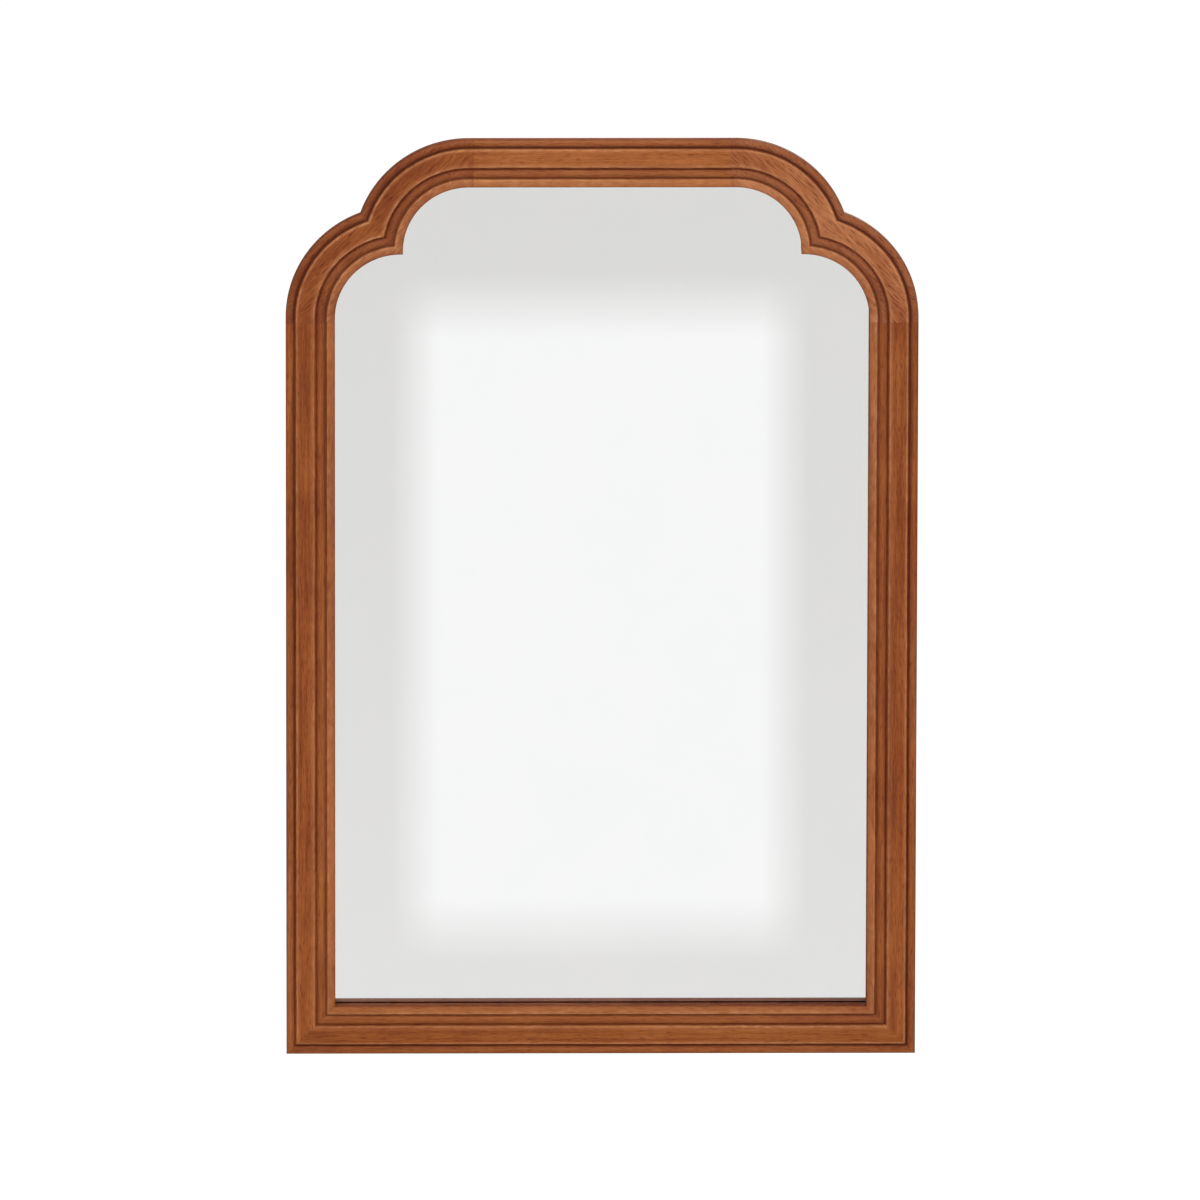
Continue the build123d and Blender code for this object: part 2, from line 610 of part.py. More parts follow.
pieces = {
    "bottom_rail": bottom_rail,
    "left_stile": left_stile,
    "right_stile": right_stile,
    "left_shoulder": left_shoulder,
    "right_shoulder": right_shoulder,
    "top_rail": top_rail,
    "mirror_glass": mirror_glass,
    "backing_board": backing_board,
    "glazing_points": glazing_points,
    "left_setting_block": left_setting_block,
    "right_setting_block": right_setting_block,
    "left_side_block": left_side_block,
    "right_side_block": right_side_block,
    "left_stile_dowels": left_stile_dowels,
    "right_stile_dowels": right_stile_dowels,
    "left_top_dowels": left_top_dowels,
    "right_top_dowels": right_top_dowels,
    "left_corner_biscuit": left_corner_biscuit,
    "right_corner_biscuit": right_corner_biscuit,
    "corner_v_nails": corner_v_nails,
    "shoulder_v_nails": shoulder_v_nails,
    "left_hanger_strap": left_hanger_strap,
    "right_hanger_strap": right_hanger_strap,
    "left_hanger_screws": left_hanger_screws,
    "right_hanger_screws": right_hanger_screws,
    "left_d_ring": left_d_ring,
    "right_d_ring": right_d_ring,
    "bumper_lower_left": bumper_lower_left,
    "bumper_lower_right": bumper_lower_right,
    "bumper_upper_left": bumper_upper_left,
    "bumper_upper_right": bumper_upper_right,
}

os.makedirs("parts", exist_ok=True)
for name, piece in pieces.items():
    piece.part.label = name
    export_step(piece.part, f"parts/{name}.step")
print(f"hooks: {2 * HANGER_X:.2f} mm apart, ring lean {degrees(RING_LEAN):.2f} degrees")
print(f"ring pivot: x {HANGER_X:.3f}, y {PIVOT_Y:.3f}, z {PIVOT_Z:.3f} mm")
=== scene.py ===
"""Looks of the irregular wall mirror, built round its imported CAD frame.

The six timbers are one moulding section carried along the frame's outline, the mirror is a clear
pane over a silvered sheet, and the hangers on the back are bent, turned and cut as their metal
is. Sizes of the mirror's pieces are in millimetres, as on a workshop drawing, and are the same as
in the part's source. Meshes, the studio and the camera are in metres. X runs across, Z up, the
front faces -Y and the wall is Y = 0.
"""

import logging
from collections.abc import Callable
from dataclasses import dataclass, field
from enum import Enum
from math import asin, cos, pi, radians, sin

import bpy
import numpy as np
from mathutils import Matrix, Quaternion, Vector


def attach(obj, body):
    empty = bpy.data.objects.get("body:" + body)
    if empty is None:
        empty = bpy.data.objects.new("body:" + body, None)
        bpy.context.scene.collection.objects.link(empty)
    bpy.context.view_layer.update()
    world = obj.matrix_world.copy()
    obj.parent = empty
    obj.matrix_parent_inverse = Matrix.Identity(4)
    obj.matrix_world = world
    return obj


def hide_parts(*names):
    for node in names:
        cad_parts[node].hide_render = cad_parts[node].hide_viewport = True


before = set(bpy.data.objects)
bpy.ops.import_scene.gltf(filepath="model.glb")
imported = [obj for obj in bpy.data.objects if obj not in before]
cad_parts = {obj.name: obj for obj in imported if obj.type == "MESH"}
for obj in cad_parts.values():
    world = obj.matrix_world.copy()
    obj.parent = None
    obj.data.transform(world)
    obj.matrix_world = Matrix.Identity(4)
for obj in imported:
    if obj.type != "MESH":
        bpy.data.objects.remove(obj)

LOG = logging.getLogger("wall_mirror")
MM = 0.001
WALL_GAP = 6.5
ROUND_PROFILE_STEPS = 4
Colour = tuple[float, float, float]
Place = tuple[float, float]
Point = tuple[float, float, float]
Stops = tuple[Place, ...]
Rows = Callable[[np.ndarray], tuple[np.ndarray, np.ndarray]]


def srgb(red: float, green: float, blue: float) -> Colour:
    """A colour given in 0 to 255 display values, as the linear values that a shader takes."""
    values = np.array([red, green, blue]) / 255
    linear = np.where(values <= 0.04045, values / 12.92, ((values + 0.055) / 1.055) ** 2.4)
    return tuple(float(v) for v in linear)


# ------------------------------------------------------------------------------------- meshes


def lattice_faces(rows: int, columns: int, wrap_rows: bool, wrap_columns: bool) -> np.ndarray:
    """Join a lattice of points into quads.

    Args:
        rows: Number of rows of points.
        columns: Number of points in a row.
        wrap_rows: Join the last row to the first.
        wrap_columns: Join each row's last point to its first.

    Returns:
        Corner indices, four to a quad. Point (i, j) has index i * columns + j.
    """
    index = np.arange(rows * columns).reshape(rows, columns)
    if wrap_rows:
        index = np.vstack([index, index[:1]])
    if wrap_columns:
        index = np.hstack([index, index[:, :1]])
    quads = [index[:-1, :-1], index[:-1, 1:], index[1:, 1:], index[1:, :-1]]
    return np.stack(quads, axis=-1).reshape(-1, 4)


def enclosed_volume(points: np.ndarray, faces: list[list[int]]) -> float:
    """Signed volume inside closed faces: the sum of the tetrahedra from the origin to each
    face's fan of triangles. It is positive where the faces point outwards."""
    fans = [(f[0], b, c) for f in faces for b, c in zip(f[1:-1], f[2:])]
    a, b, c = (points[np.array(corner)] for corner in zip(*fans))
    return float(np.einsum("ij,ij->i", a, np.cross(b, c)).sum() / 6)


def solid_from(
    name: str,
    points: np.ndarray,
    faces: list[list[int]],
    sharp: float = 32.0,
    stations: dict[str, np.ndarray] | None = None,
) -> bpy.types.Object:
    """Make one closed piece whose faces point outwards.

    Args:
        name: The piece's name.
        points: Corner places in metres, one row each.
        faces: Corner indices of each face.
        sharp: Edges that turn by more than this many degrees stay crisp.
        stations: Named values, one for each point, that the material reads.

    Returns:
        The object, at the origin, with its place in its mesh.
    """
    if enclosed_volume(points, faces) < 0:
        faces = [f[::-1] for f in faces]
    mesh = bpy.data.meshes.new(name)
    mesh.from_pydata(points.tolist(), [], faces)
    for key, values in (stations or {}).items():
        layer = mesh.attributes.new(name=key, type="FLOAT", domain="POINT")
        layer.data.foreach_set("value", np.ascontiguousarray(values, dtype=np.float32).ravel())
    mesh.shade_smooth()
    mesh.set_sharp_from_angle(angle=radians(sharp))
    mesh.validate()
    piece = bpy.data.objects.new(name, mesh)
    bpy.context.scene.collection.objects.link(piece)
    return piece


def lattice_solid(
    name: str,
    grid: np.ndarray,
    ring: bool = False,
    sharp: float = 32.0,
    stations: dict[str, np.ndarray] | None = None,
) -> bpy.types.Object:
    """Make a closed solid from rows of closed profiles.

    Args:
        name: The piece's name.
        grid: Points in millimetres, shaped (rows, columns, 3). Each row is one closed profile.
        ring: The last row joins the first. If it doesn't, the two end profiles are capped.
        sharp: Edges that turn by more than this many degrees stay crisp.
        stations: Named values shaped (rows, columns) that the material reads.

    Returns:
        The object.
    """
    rows, columns = grid.shape[:2]
    faces = lattice_faces(rows, columns, ring, True).tolist()
    if not ring:
        faces.append(list(range(columns))[::-1])
        faces.append(list(range((rows - 1) * columns, rows * columns)))
    return solid_from(name, grid.reshape(-1, 3) * MM, faces, sharp, stations)


def turned_solid(
    name: str,
    radius: np.ndarray,
    height: np.ndarray,
    centre: np.ndarray,
    around: int = 64,
) -> bpy.types.Object:
    """Make a turned solid whose axis runs along Y: each profile point is carried round a circle,
    x = r cos a and z = r sin a, at its own height.

    Args:
        name: The piece's name.
        radius: Radii along the profile, none of them zero, in millimetres.
        height: Place along Y of each radius, from the centre.
        centre: Where the axis starts, in millimetres.
        around: Points round the circle.

    Returns:
        The object, with a flat cap at each end of the profile.
    """
    angle = np.linspace(0, 2 * pi, around, endpoint=False)
    x = radius[:, None] * np.cos(angle)
    z = radius[:, None] * np.sin(angle)
    y = np.broadcast_to(height[:, None], x.shape)
    return lattice_solid(name, np.stack([x, y, z], -1) + centre)


def merge(name: str, pieces: list[bpy.types.Object]) -> bpy.types.Object:
    """Join alike solids, such as the two screws of one hanger, into one named piece."""
    with bpy.context.temp_override(
        active_object=pieces[0], selected_editable_objects=pieces, selected_objects=pieces
    ):
        bpy.ops.object.join()
    pieces[0].name = name
    pieces[0].data.name = name
    return pieces[0]


def seat(piece: bpy.types.Object, body: str, slot: str, finish: "Finish", *nodes: str) -> None:
    """Give a piece its finish and the body that it rides on, and hide the nodes it stands for."""
    piece.data.materials.clear()
    piece.data.materials.append(finish.material())
    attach(piece, body)
    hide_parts(*nodes)
    LOG.info("%s rides on %s and stands for %s", piece.name, body, ", ".join(nodes))


# ------------------------------------------------------------------------------------ finishes


class Grain(Enum):
    """Which way a timber's grain runs, as the turn about Y from +X, in degrees."""

    ACROSS = 0.0
    UPRIGHT = 90.0
    FALLING = 45.0
    RISING = -45.0


class Sketch:
    """A material being drawn: short calls add its nodes and join them."""

    def __init__(self, name: str) -> None:
        """Start an empty material that has one Principled shader."""
        self.made = bpy.data.materials.new(name)
        self.made.use_nodes = True
        self.tree = self.made.node_tree
        self.tree.nodes.clear()
        self.shader = self.tree.nodes.new("ShaderNodeBsdfPrincipled")
        output = self.tree.nodes.new("ShaderNodeOutputMaterial")
        self.tree.links.new(self.shader.outputs[0], output.inputs[0])
        self.output = output

    def add(self, kind: str, **settings: object) -> bpy.types.Node:
        """Add a node of one kind and set its plain properties."""
        node = self.tree.nodes.new("ShaderNode" + kind)
        for key, value in settings.items():
            setattr(node, key, value)
        return node

    def feed(self, node: bpy.types.Node, **sources: object) -> bpy.types.Node:
        """Fill a node's inputs, each by a number, a colour or another node's output.

        Args:
            node: The node to fill.
            sources: Values by socket name, with _ for each space, or by i and its number.

        Returns:
            The same node.
        """
        for key, value in sources.items():
            numbered = key[:1] == "i" and key[1:].isdigit()
            socket = node.inputs[int(key[1:])] if numbered else node.inputs[key.replace("_", " ")]
            if isinstance(value, bpy.types.NodeSocket):
                self.tree.links.new(value, socket)
            elif isinstance(value, tuple) and len(value) == 3 and socket.type == "RGBA":
                socket.default_value = (*value, 1.0)
            else:
                socket.default_value = value
        return node

    def place(self, cell: Point, turn: float = 0.0, shift: float = 0.0) -> bpy.types.NodeSocket:
        """Object coordinates, turned about Y and measured in cells of a given size in mm."""
        mapping = self.add("Mapping", vector_type="TEXTURE")
        self.feed(
            mapping,
            Vector=self.add("TexCoord").outputs["Object"],
            Location=(shift, shift, shift),
            Rotation=(0.0, radians(turn), 0.0),
            Scale=tuple(c * MM for c in cell),
        )
        return mapping.outputs[0]

    def noise(
        self,
        cell: Point,
        turn: float = 0.0,
        detail: float = 2.0,
        rough: float = 0.5,
        bent: float = 0.0,
        shift: float = 0.0,
    ) -> bpy.types.NodeSocket:
        """Noise whose lumps have the given size in mm along, into and across the grain."""
        texture = self.add("TexNoise")
        place = self.place(cell, turn, shift)
        self.feed(
            texture, Vector=place, Scale=1.0, Detail=detail, Roughness=rough, Distortion=bent
        )
        return texture.outputs[0]

    def spread(
        self, value: bpy.types.NodeSocket, low: float, high: float, to: float = 0.0, at: float = 1.0
    ) -> bpy.types.NodeSocket:
        """Stretch the part of a value from low to high over the range from `to` to `at`."""
        node = self.add("MapRange", clamp=True)
        self.feed(node, Value=value, From_Min=low, From_Max=high, To_Min=to, To_Max=at)
        return node.outputs[0]

    def sum(self, action: str, first: object, second: object) -> bpy.types.NodeSocket:
        """One step of arithmetic on two values."""
        node = self.add("Math", operation=action)
        self.feed(node, i0=first, i1=second)
        return node.outputs[0]

    def mix(self, share: object, first: object, second: object) -> bpy.types.NodeSocket:
        """Blend from the first colour to the second by a share from 0 to 1."""
        node = self.add("Mix", data_type="RGBA")
        self.feed(node, i0=share, i6=first, i7=second)
        return node.outputs[2]

    def ramp(self, value: bpy.types.NodeSocket, stops: list[tuple[float, Colour]]) -> object:
        """Read a colour off a ramp of places and colours."""
        node = self.add("ValToRGB")
        band = node.color_ramp
        while len(band.elements) < len(stops):
            band.elements.new(1.0)
        for element, (place, colour) in zip(band.elements, stops):
            element.position = place
            element.color = (*colour, 1.0)
        self.feed(node, Fac=value)
        return node.outputs[0]

    def named(self, key: str) -> bpy.types.NodeSocket:
        """A value that the mesh carries at each point."""
        return self.add("Attribute", attribute_name=key).outputs["Fac"]

    def relief(self, height: bpy.types.NodeSocket, depth: float, strength: float = 1.0) -> None:
        """Raise the surface by a height from 0 to 1, which stands for a depth in mm."""
        bump = self.add("Bump")
        self.feed(bump, Height=height, Distance=depth * MM, Strength=strength)
        self.feed(self.shader, Normal=bump.outputs[0])


class Finish:
    """Base of every finish: the material is drawn once and shared."""

    def draw(self) -> Sketch:
        """Draw the material's nodes."""
        raise NotImplementedError

    def material(self) -> bpy.types.Material:
        """The finished material, drawn on the first call."""
        key = repr(self)
        if key not in DRAWN:
            DRAWN[key] = self.draw().made
        return DRAWN[key]


DRAWN: dict[str, bpy.types.Material] = {}


@dataclass(frozen=True)
class StainedTimber(Finish):
    """Fine-pored hardwood under brown stain, dark glazing left in the quirks, and satin lacquer.

    The mesh carries three values. The first is how much dark glazing stayed at each point,
    together with painted shade in the grooves, on the slopes into them and along the edges. The
    second is how far the stain was worn back on an arris, together with painted highlights on the
    arrises and bead crests. The third is tone, how much paler the timber took the stain; on the
    top rail and towards the upper ends of the timbers it is painted light from above.
    """

    name: str
    grain: Grain
    dark: Colour
    middle: Colour
    light: Colour
    shift: float
    line_length: float = 9.0
    line_width: float = 0.6
    line_strength: float = 0.55
    streak: float = 1.0
    # Dark glazing colour, for the pores and for the painted shade in the grooves and along the
    # edges.
    glaze_and_shade: Colour = srgb(84, 21, 5)
    # Colour of the worn-back arrises and of their painted highlights.
    rubbed_and_highlight: Colour = srgb(204, 140, 95)
    figure_share: float = 0.24
    streak_share: float = 0.34
    fibre_share: float = 0.28
    blotch_share: float = 0.48
    stops: tuple[float, ...] = (0.40, 0.50, 0.59, 0.68)
    highlight: float = 1.3

    def draw(self) -> Sketch:
        """Broad figure, streaks and fibres give the tone, then pores, dark glazing with painted
        shade, and worn arrises with painted highlights go over it.
        """
        s = Sketch(self.name)
        turn, shift = self.grain.value, self.shift
        figure = s.noise((420, 30, 30), turn, 2.0, 0.5, 0.4, shift)
        streaks = s.noise((130, 4.5, 4.5), turn, 3.0, 0.55, 0.15, shift + 3)
        fibres = s.noise((22, 0.8, 0.8), turn, 3.0, 0.6, 0.0, shift + 5)
        blotch = s.noise((46, 46, 46), 0.0, 2.0, 0.5, 0.0, shift + 7)
        pores = s.noise(
            (self.line_length, self.line_width, self.line_width), turn, 1.0, 0.5, 0.0, shift + 9
        )
        streaked = self.streak_share * self.streak
        tone = s.sum("MULTIPLY", figure, self.figure_share)
        for layer, share in (
            (streaks, streaked),
            (fibres, self.fibre_share),
            (blotch, self.blotch_share - streaked),
        ):
            tone = s.sum("ADD", tone, s.sum("MULTIPLY", layer, share))
        # The mesh's tone: paler timbers, and painted light from above on the top rail and the upper
        # ends.
        tone = s.sum("ADD", tone, s.named("tone"))
        pale = tuple(self.highlight * c for c in self.light)
        colour = s.ramp(tone, list(zip(self.stops, (self.dark, self.middle, self.light, pale))))
        line = s.spread(pores, 0.55, 0.68)
        colour = s.mix(s.sum("MULTIPLY", line, self.line_strength), colour, self.glaze_and_shade)
        smear = s.noise((9, 3, 3), turn, 3.0, 0.6, 0.0, shift + 11)
        kept = s.sum("ADD", s.spread(smear, 0.25, 0.6, 0.7, 1.05), s.sum("MULTIPLY", line, 0.5))
        # Dark glazing by the mesh's values, with painted shade in the grooves, on the slopes into
        # them and along the edges.
        left = s.sum("MINIMUM", s.sum("MULTIPLY", s.named("glaze_and_shade"), kept), 1.0)
        colour = s.mix(left, colour, self.glaze_and_shade)
        # Worn-back arrises by the mesh's values, with painted highlights on the arrises and bead
        # crests.
        rub_and_highlight = s.sum("MULTIPLY", s.named("wear_and_highlight"), s.spread(smear, 0.35, 0.7, 0.35, 1.0))
        colour = s.mix(rub_and_highlight, colour, self.rubbed_and_highlight)
        sheen = s.sum("ADD", s.spread(fibres, 0.3, 0.7, 0.40, 0.52), s.sum("MULTIPLY", left, 0.25))
        s.feed(
            s.shader,
            Base_Color=colour,
            Roughness=sheen,
            IOR=1.46,
            Specular_IOR_Level=0.15,
            Coat_Weight=0.03,
            Coat_Roughness=0.30,
        )
        height = s.sum("SUBTRACT", s.sum("MULTIPLY", fibres, 0.5), s.sum("MULTIPLY", line, 0.4))
        s.relief(height, 0.12, 0.6)
        return s


@dataclass(frozen=True)
class PlainTimber(Finish):
    """Bare beech: pale, with short darker flecks along the grain."""

    name: str = "bare_beech"
    grain: Grain = Grain.ACROSS

    def draw(self) -> Sketch:
        """Streaks give the tone and short flecks darken it."""
        s = Sketch(self.name)
        streaks = s.noise((60, 1.6, 1.6), self.grain.value, 3.0)
        flecks = s.noise((2.4, 0.35, 0.35), self.grain.value, 1.0)
        colour = s.ramp(streaks, [(0.3, srgb(190, 150, 110)), (0.7, srgb(216, 180, 140))])
        colour = s.mix(s.spread(flecks, 0.58, 0.7, 0.0, 0.5), colour, srgb(140, 96, 62))
        s.feed(s.shader, Base_Color=colour, Roughness=s.spread(flecks, 0.3, 0.7, 0.55, 0.7))
        s.relief(streaks, 0.05)
        return s


@dataclass(frozen=True)
class Hardboard(Finish):
    """Pressed brown fibre board: matted fibres with a faint sheen."""

    name: str = "pressed_hardboard"

    def draw(self) -> Sketch:
        """Two crossed sets of fibres over a soft blotch."""
        s = Sketch(self.name)
        one = s.noise((5.0, 0.5, 0.7), 24.0, 2.0)
        two = s.noise((4.2, 0.5, 0.6), -58.0, 2.0, shift=4.0)
        blotch = s.noise((60, 60, 60), detail=3.0)
        mat = s.sum("MULTIPLY", s.sum("ADD", one, two), 0.5)
        browns = (srgb(92, 62, 40), srgb(124, 88, 60), srgb(156, 118, 84))
        colour = s.ramp(mat, list(zip((0.35, 0.5, 0.66), browns)))
        colour = s.mix(s.spread(blotch, 0.35, 0.7, 0.0, 0.35), colour, srgb(98, 68, 46))
        s.feed(s.shader, Base_Color=colour, Roughness=s.spread(mat, 0.35, 0.65, 0.5, 0.72))
        s.relief(mat, 0.08)
        return s


@dataclass(frozen=True)
class PlatedSteel(Finish):
    """Zinc-plated or bright steel with fine drawn scratches and a patchy sheen."""

    name: str
    tint: Colour
    dull: float = 0.3
    turn: float = 0.0

    def draw(self) -> Sketch:
        """Long fine scratches and soft patches move the tint and the roughness."""
        s = Sketch(self.name)
        scratch = s.noise((9.0, 0.12, 0.12), self.turn, 2.0, 0.7)
        patch = s.noise((3.5, 3.5, 3.5), detail=3.0, rough=0.6)
        darker = tuple(c * 0.72 for c in self.tint)
        colour = s.mix(s.spread(patch, 0.35, 0.65), self.tint, darker)
        rough = s.spread(scratch, 0.3, 0.7, self.dull - 0.06, self.dull + 0.08)
        s.feed(s.shader, Base_Color=colour, Metallic=1.0, Roughness=rough)
        s.relief(scratch, 0.01, 0.5)
        return s


@dataclass(frozen=True)
class Rubber(Finish):
    """Matt dark rubber with a fine moulded grain and a little dust."""

    name: str = "matt_rubber"
    tint: Colour = srgb(46, 43, 41)

    def draw(self) -> Sketch:
        """A pebbled bump, and dust that lightens it in patches."""
        s = Sketch(self.name)
        pebble = s.noise((0.35, 0.35, 0.35), detail=2.0)
        dust = s.noise((7, 7, 7), detail=4.0, rough=0.7)
        colour = s.mix(s.spread(dust, 0.45, 0.75, 0.0, 0.4), self.tint, srgb(92, 88, 84))
        s.feed(s.shader, Base_Color=colour, Roughness=s.spread(pebble, 0.3, 0.7, 0.6, 0.8))
        s.relief(pebble, 0.05)
        return s


@dataclass(frozen=True)
class FloatGlass(Finish):
    """Clear float glass with a trace of green."""

    name: str = "float_glass"

    def draw(self) -> Sketch:
        """All light passes; a faint film on the surface softens it by a hair."""
        s = Sketch(self.name)
        film = s.noise((70, 70, 70), detail=4.0, rough=0.6)
        s.feed(
            s.shader,
            Base_Color=s.mix(film, srgb(253, 254, 254), srgb(255, 255, 255)),
            Roughness=s.spread(film, 0.5, 0.9, 0.0, 0.004),
            Transmission_Weight=1.0,
            IOR=1.52,
            Specular_IOR_Level=0.2,
        )
        return s


@dataclass(frozen=True)
class Silver(Finish):
    """The silvering, seen through the glass."""

    name: str = "silvering"

    def draw(self) -> Sketch:
        """Bright metal whose tone drifts by a trace, as float glass makes it."""
        s = Sketch(self.name)
        drift = s.noise((180, 180, 180), detail=2.0)
        s.feed(
            s.shader,
            Base_Color=s.mix(drift, srgb(250, 250, 250), srgb(253, 253, 252)),
            Metallic=1.0,
            Roughness=s.spread(drift, 0.5, 1.0, 0.0, 0.004),
        )
        return s


@dataclass(frozen=True)
class BackPaint(Finish):
    """Grey protective paint on the silvering's back."""

    name: str = "mirror_back_paint"

    def draw(self) -> Sketch:
        """Flat grey with the faint stripes of a curtain coater."""
        s = Sketch(self.name)
        stripe = s.noise((400, 3, 3), 90.0, 2.0)
        s.feed(
            s.shader,
            Base_Color=s.mix(stripe, srgb(96, 100, 102), srgb(122, 126, 128)),
            Roughness=s.spread(stripe, 0.3, 0.7, 0.35, 0.5),
        )
        return s


SHOULDER_PORES = {"line_length": 10.0, "line_width": 0.55, "line_strength": 0.85, "streak": 0.6}


@dataclass(frozen=True)
class Workshop:
    """Every finish of the mirror, under the record's slots."""

    rail: StainedTimber = StainedTimber(
        "rail_wood", Grain.ACROSS, srgb(126, 61, 22), srgb(149, 80, 31), srgb(163, 95, 47), 1.7
    )
    stile: StainedTimber = StainedTimber(
        "stile_wood", Grain.UPRIGHT, srgb(122, 58, 22), srgb(148, 78, 32), srgb(166, 94, 44), 4.1
    )
    left_shoulder: StainedTimber = StainedTimber(
        "left_shoulder_wood",
        Grain.RISING,
        srgb(120, 56, 20),
        srgb(142, 74, 30),
        srgb(160, 92, 45),
        6.3,
        **SHOULDER_PORES,
    )
    right_shoulder: StainedTimber = StainedTimber(
        "right_shoulder_wood",
        Grain.FALLING,
        srgb(138, 72, 36),
        srgb(162, 94, 53),
        srgb(178, 112, 70),
        8.9,
        **SHOULDER_PORES,
    )
    beech: PlainTimber = PlainTimber()
    hardboard: Hardboard = Hardboard()
    hanger_steel: PlatedSteel = PlatedSteel("hanger_steel", (0.62, 0.62, 0.60), 0.26)
    screw_steel: PlatedSteel = PlatedSteel("screw_steel", (0.60, 0.60, 0.58), 0.30)
    fixing_steel: PlatedSteel = PlatedSteel("fixing_steel", (0.50, 0.50, 0.49), 0.34, 45.0)
    bumper_rubber: Rubber = Rubber("bumper_rubber")
    block_rubber: Rubber = Rubber("block_rubber", srgb(34, 34, 35))


# ------------------------------------------------------------------------------- moulded frame


def rounded(corner: Place, before: Place, after: Place, radius: float) -> np.ndarray:
    """Round one corner of a profile: an arc that touches both sides, its centre on the line that
    halves the corner, at the radius divided by the sine of half the corner's angle.

    Args:
        corner: The corner's place.
        before: The profile's place before it.
        after: The profile's place after it.
        radius: The round's radius.

    Returns:
        Points along the arc, one row each.
    """
    at = np.array(corner)
    back = np.array(before) - at
    on = np.array(after) - at
    back, on = back / np.linalg.norm(back), on / np.linalg.norm(on)
    half = np.arccos(np.clip(back @ on, -1, 1)) / 2
    middle = (back + on) / np.linalg.norm(back + on)
    centre = at + middle * radius / np.sin(half)
    reach = radius / np.tan(half)
    start, end = at + back * reach - centre, at + on * reach - centre
    share = np.linspace(0, 1, ROUND_PROFILE_STEPS + 1)[:, None]
    sweep = np.arccos(np.clip(start @ end / radius**2, -1, 1))
    turned = np.sin((1 - share) * sweep) * start + np.sin(share * sweep) * end
    return centre + turned / np.sin(sweep)


def bead(start: Place, crest: Place, end: Place, steps: int) -> np.ndarray:
    """A bead's top: the circle through its start, crest and end, at even turns about its centre."""
    a, b, c = (complex(*p) for p in (start, crest, end))
    w = (c - a) / (b - a)
    centre = (b - a) * (w - abs(w) ** 2) / (2j * w.imag) + a
    sweep = np.angle((c - centre) / (a - centre))
    turns = np.angle(a - centre) + np.linspace(0, 1, steps + 1) * sweep
    points = centre + abs(a - centre) * np.exp(1j * turns)
    return np.stack([points.real, points.imag], -1)


@dataclass(frozen=True)
class Moulding:
    """The moulding's section: distance in from the outer edge against height above the back."""

    bead_end: float = 8.0
    band_foot: float = 8.8
    band_start: float = 10.0
    band_end: float = 27.4
    step_foot: float = 28.6
    second_start: float = 29.4
    second_end: float = 38.0
    lip_foot: float = 38.8
    lip_start: float = 40.0
    face_width: float = 47.5
    rabbet_wall: float = 40.0
    edge_height: float = 21.2
    bead_height: float = 23.4
    bead_groove: float = 19.8
    band_low: float = 22.5
    band_high: float = 22.8
    step_groove: float = 20.2
    second_height: float = 22.6
    lip_groove: float = 19.6
    lip_high: float = 21.8
    lip_low: float = 21.4
    rabbet_depth: float = 8.5
    bevel_width: float = 5.0
    bevel_height: float = 14.0
    crest: float = 0.36
    band_outer_round: float = 0.6
    band_inner_round: float = 1.0
    lip_round: float = 0.5
    sight_round: float = 0.8
    bead_steps: int = 14
    spacing: float = 1.1
    back_spacing: float = 6.0
    above_rabbet: float = 1.0

    def corners(self) -> np.ndarray:
        """The section as a closed run of points, from the outer edge over the front, down the
        sight edge, round the rabbet and along the back. Straight runs are cut to the spacing."""
        beads = [
            (0.0, self.edge_height, self.bead_height, self.bead_end, self.bead_groove),
            (
                self.second_start,
                self.step_groove,
                self.second_height,
                self.second_end,
                self.lip_groove,
            ),
        ]
        tops = [
            bead((s, a), (s + (e - s) * self.crest, top), (e, b), self.bead_steps)
            for s, a, top, e, b in beads
        ]
        band = [
            (self.band_foot, self.bead_groove),
            (self.band_start, self.band_low),
            (self.band_end, self.band_high),
            (self.step_foot, self.step_groove),
        ]
        lip = [
            (self.lip_foot, self.lip_groove),
            (self.lip_start, self.lip_high),
            (self.face_width, self.lip_low),
            (self.face_width, self.rabbet_depth),
        ]
        back = [
            (self.face_width, self.rabbet_depth),
            (self.rabbet_wall, self.rabbet_depth),
            (self.rabbet_wall, 0.0),
            (self.bevel_width, 0.0),
            (0.0, self.bevel_height),
        ]
        outline = [
            tops[0],
            [band[0]],
            rounded(band[1], band[0], band[2], self.band_outer_round),
            rounded(band[2], band[1], band[3], self.band_inner_round),
            [band[3]],
            tops[1],
            [lip[0]],
            rounded(lip[1], lip[0], lip[2], self.lip_round),
            rounded(lip[2], lip[1], lip[3], self.sight_round),
            back,
        ]
        coarse = np.vstack([np.asarray(part, float) for part in outline])
        closed = np.vstack([coarse, coarse[:1]])
        steps = np.linalg.norm(np.diff(closed, axis=0), axis=1)
        front = closed[:-1, 1] > self.rabbet_depth + self.above_rabbet
        widest = np.where(front, self.spacing, self.back_spacing)
        counts = np.maximum(1, np.ceil(steps / widest)).astype(int)
        run = np.concatenate([[0.0], np.cumsum(steps)])
        cuts = np.concatenate(
            [np.linspace(run[k], run[k + 1], n, endpoint=False) for k, n in enumerate(counts)]
        )
        return np.stack([np.interp(cuts, run, closed[:, axis]) for axis in (0, 1)], -1)

    def station(self, section: np.ndarray) -> np.ndarray:
        """How far round the section each point lies: the inset over the front, and on from there
        down the sight edge, round the rabbet and along the back."""
        inset = section[:, 0]
        steps = np.linalg.norm(np.diff(section, axis=0, prepend=section[:1]), axis=1)
        run = np.cumsum(steps)
        turn = int(np.argmax(inset > self.face_width - 1e-6))
        return np.where(np.arange(len(inset)) < turn, inset, self.face_width + run - run[turn])


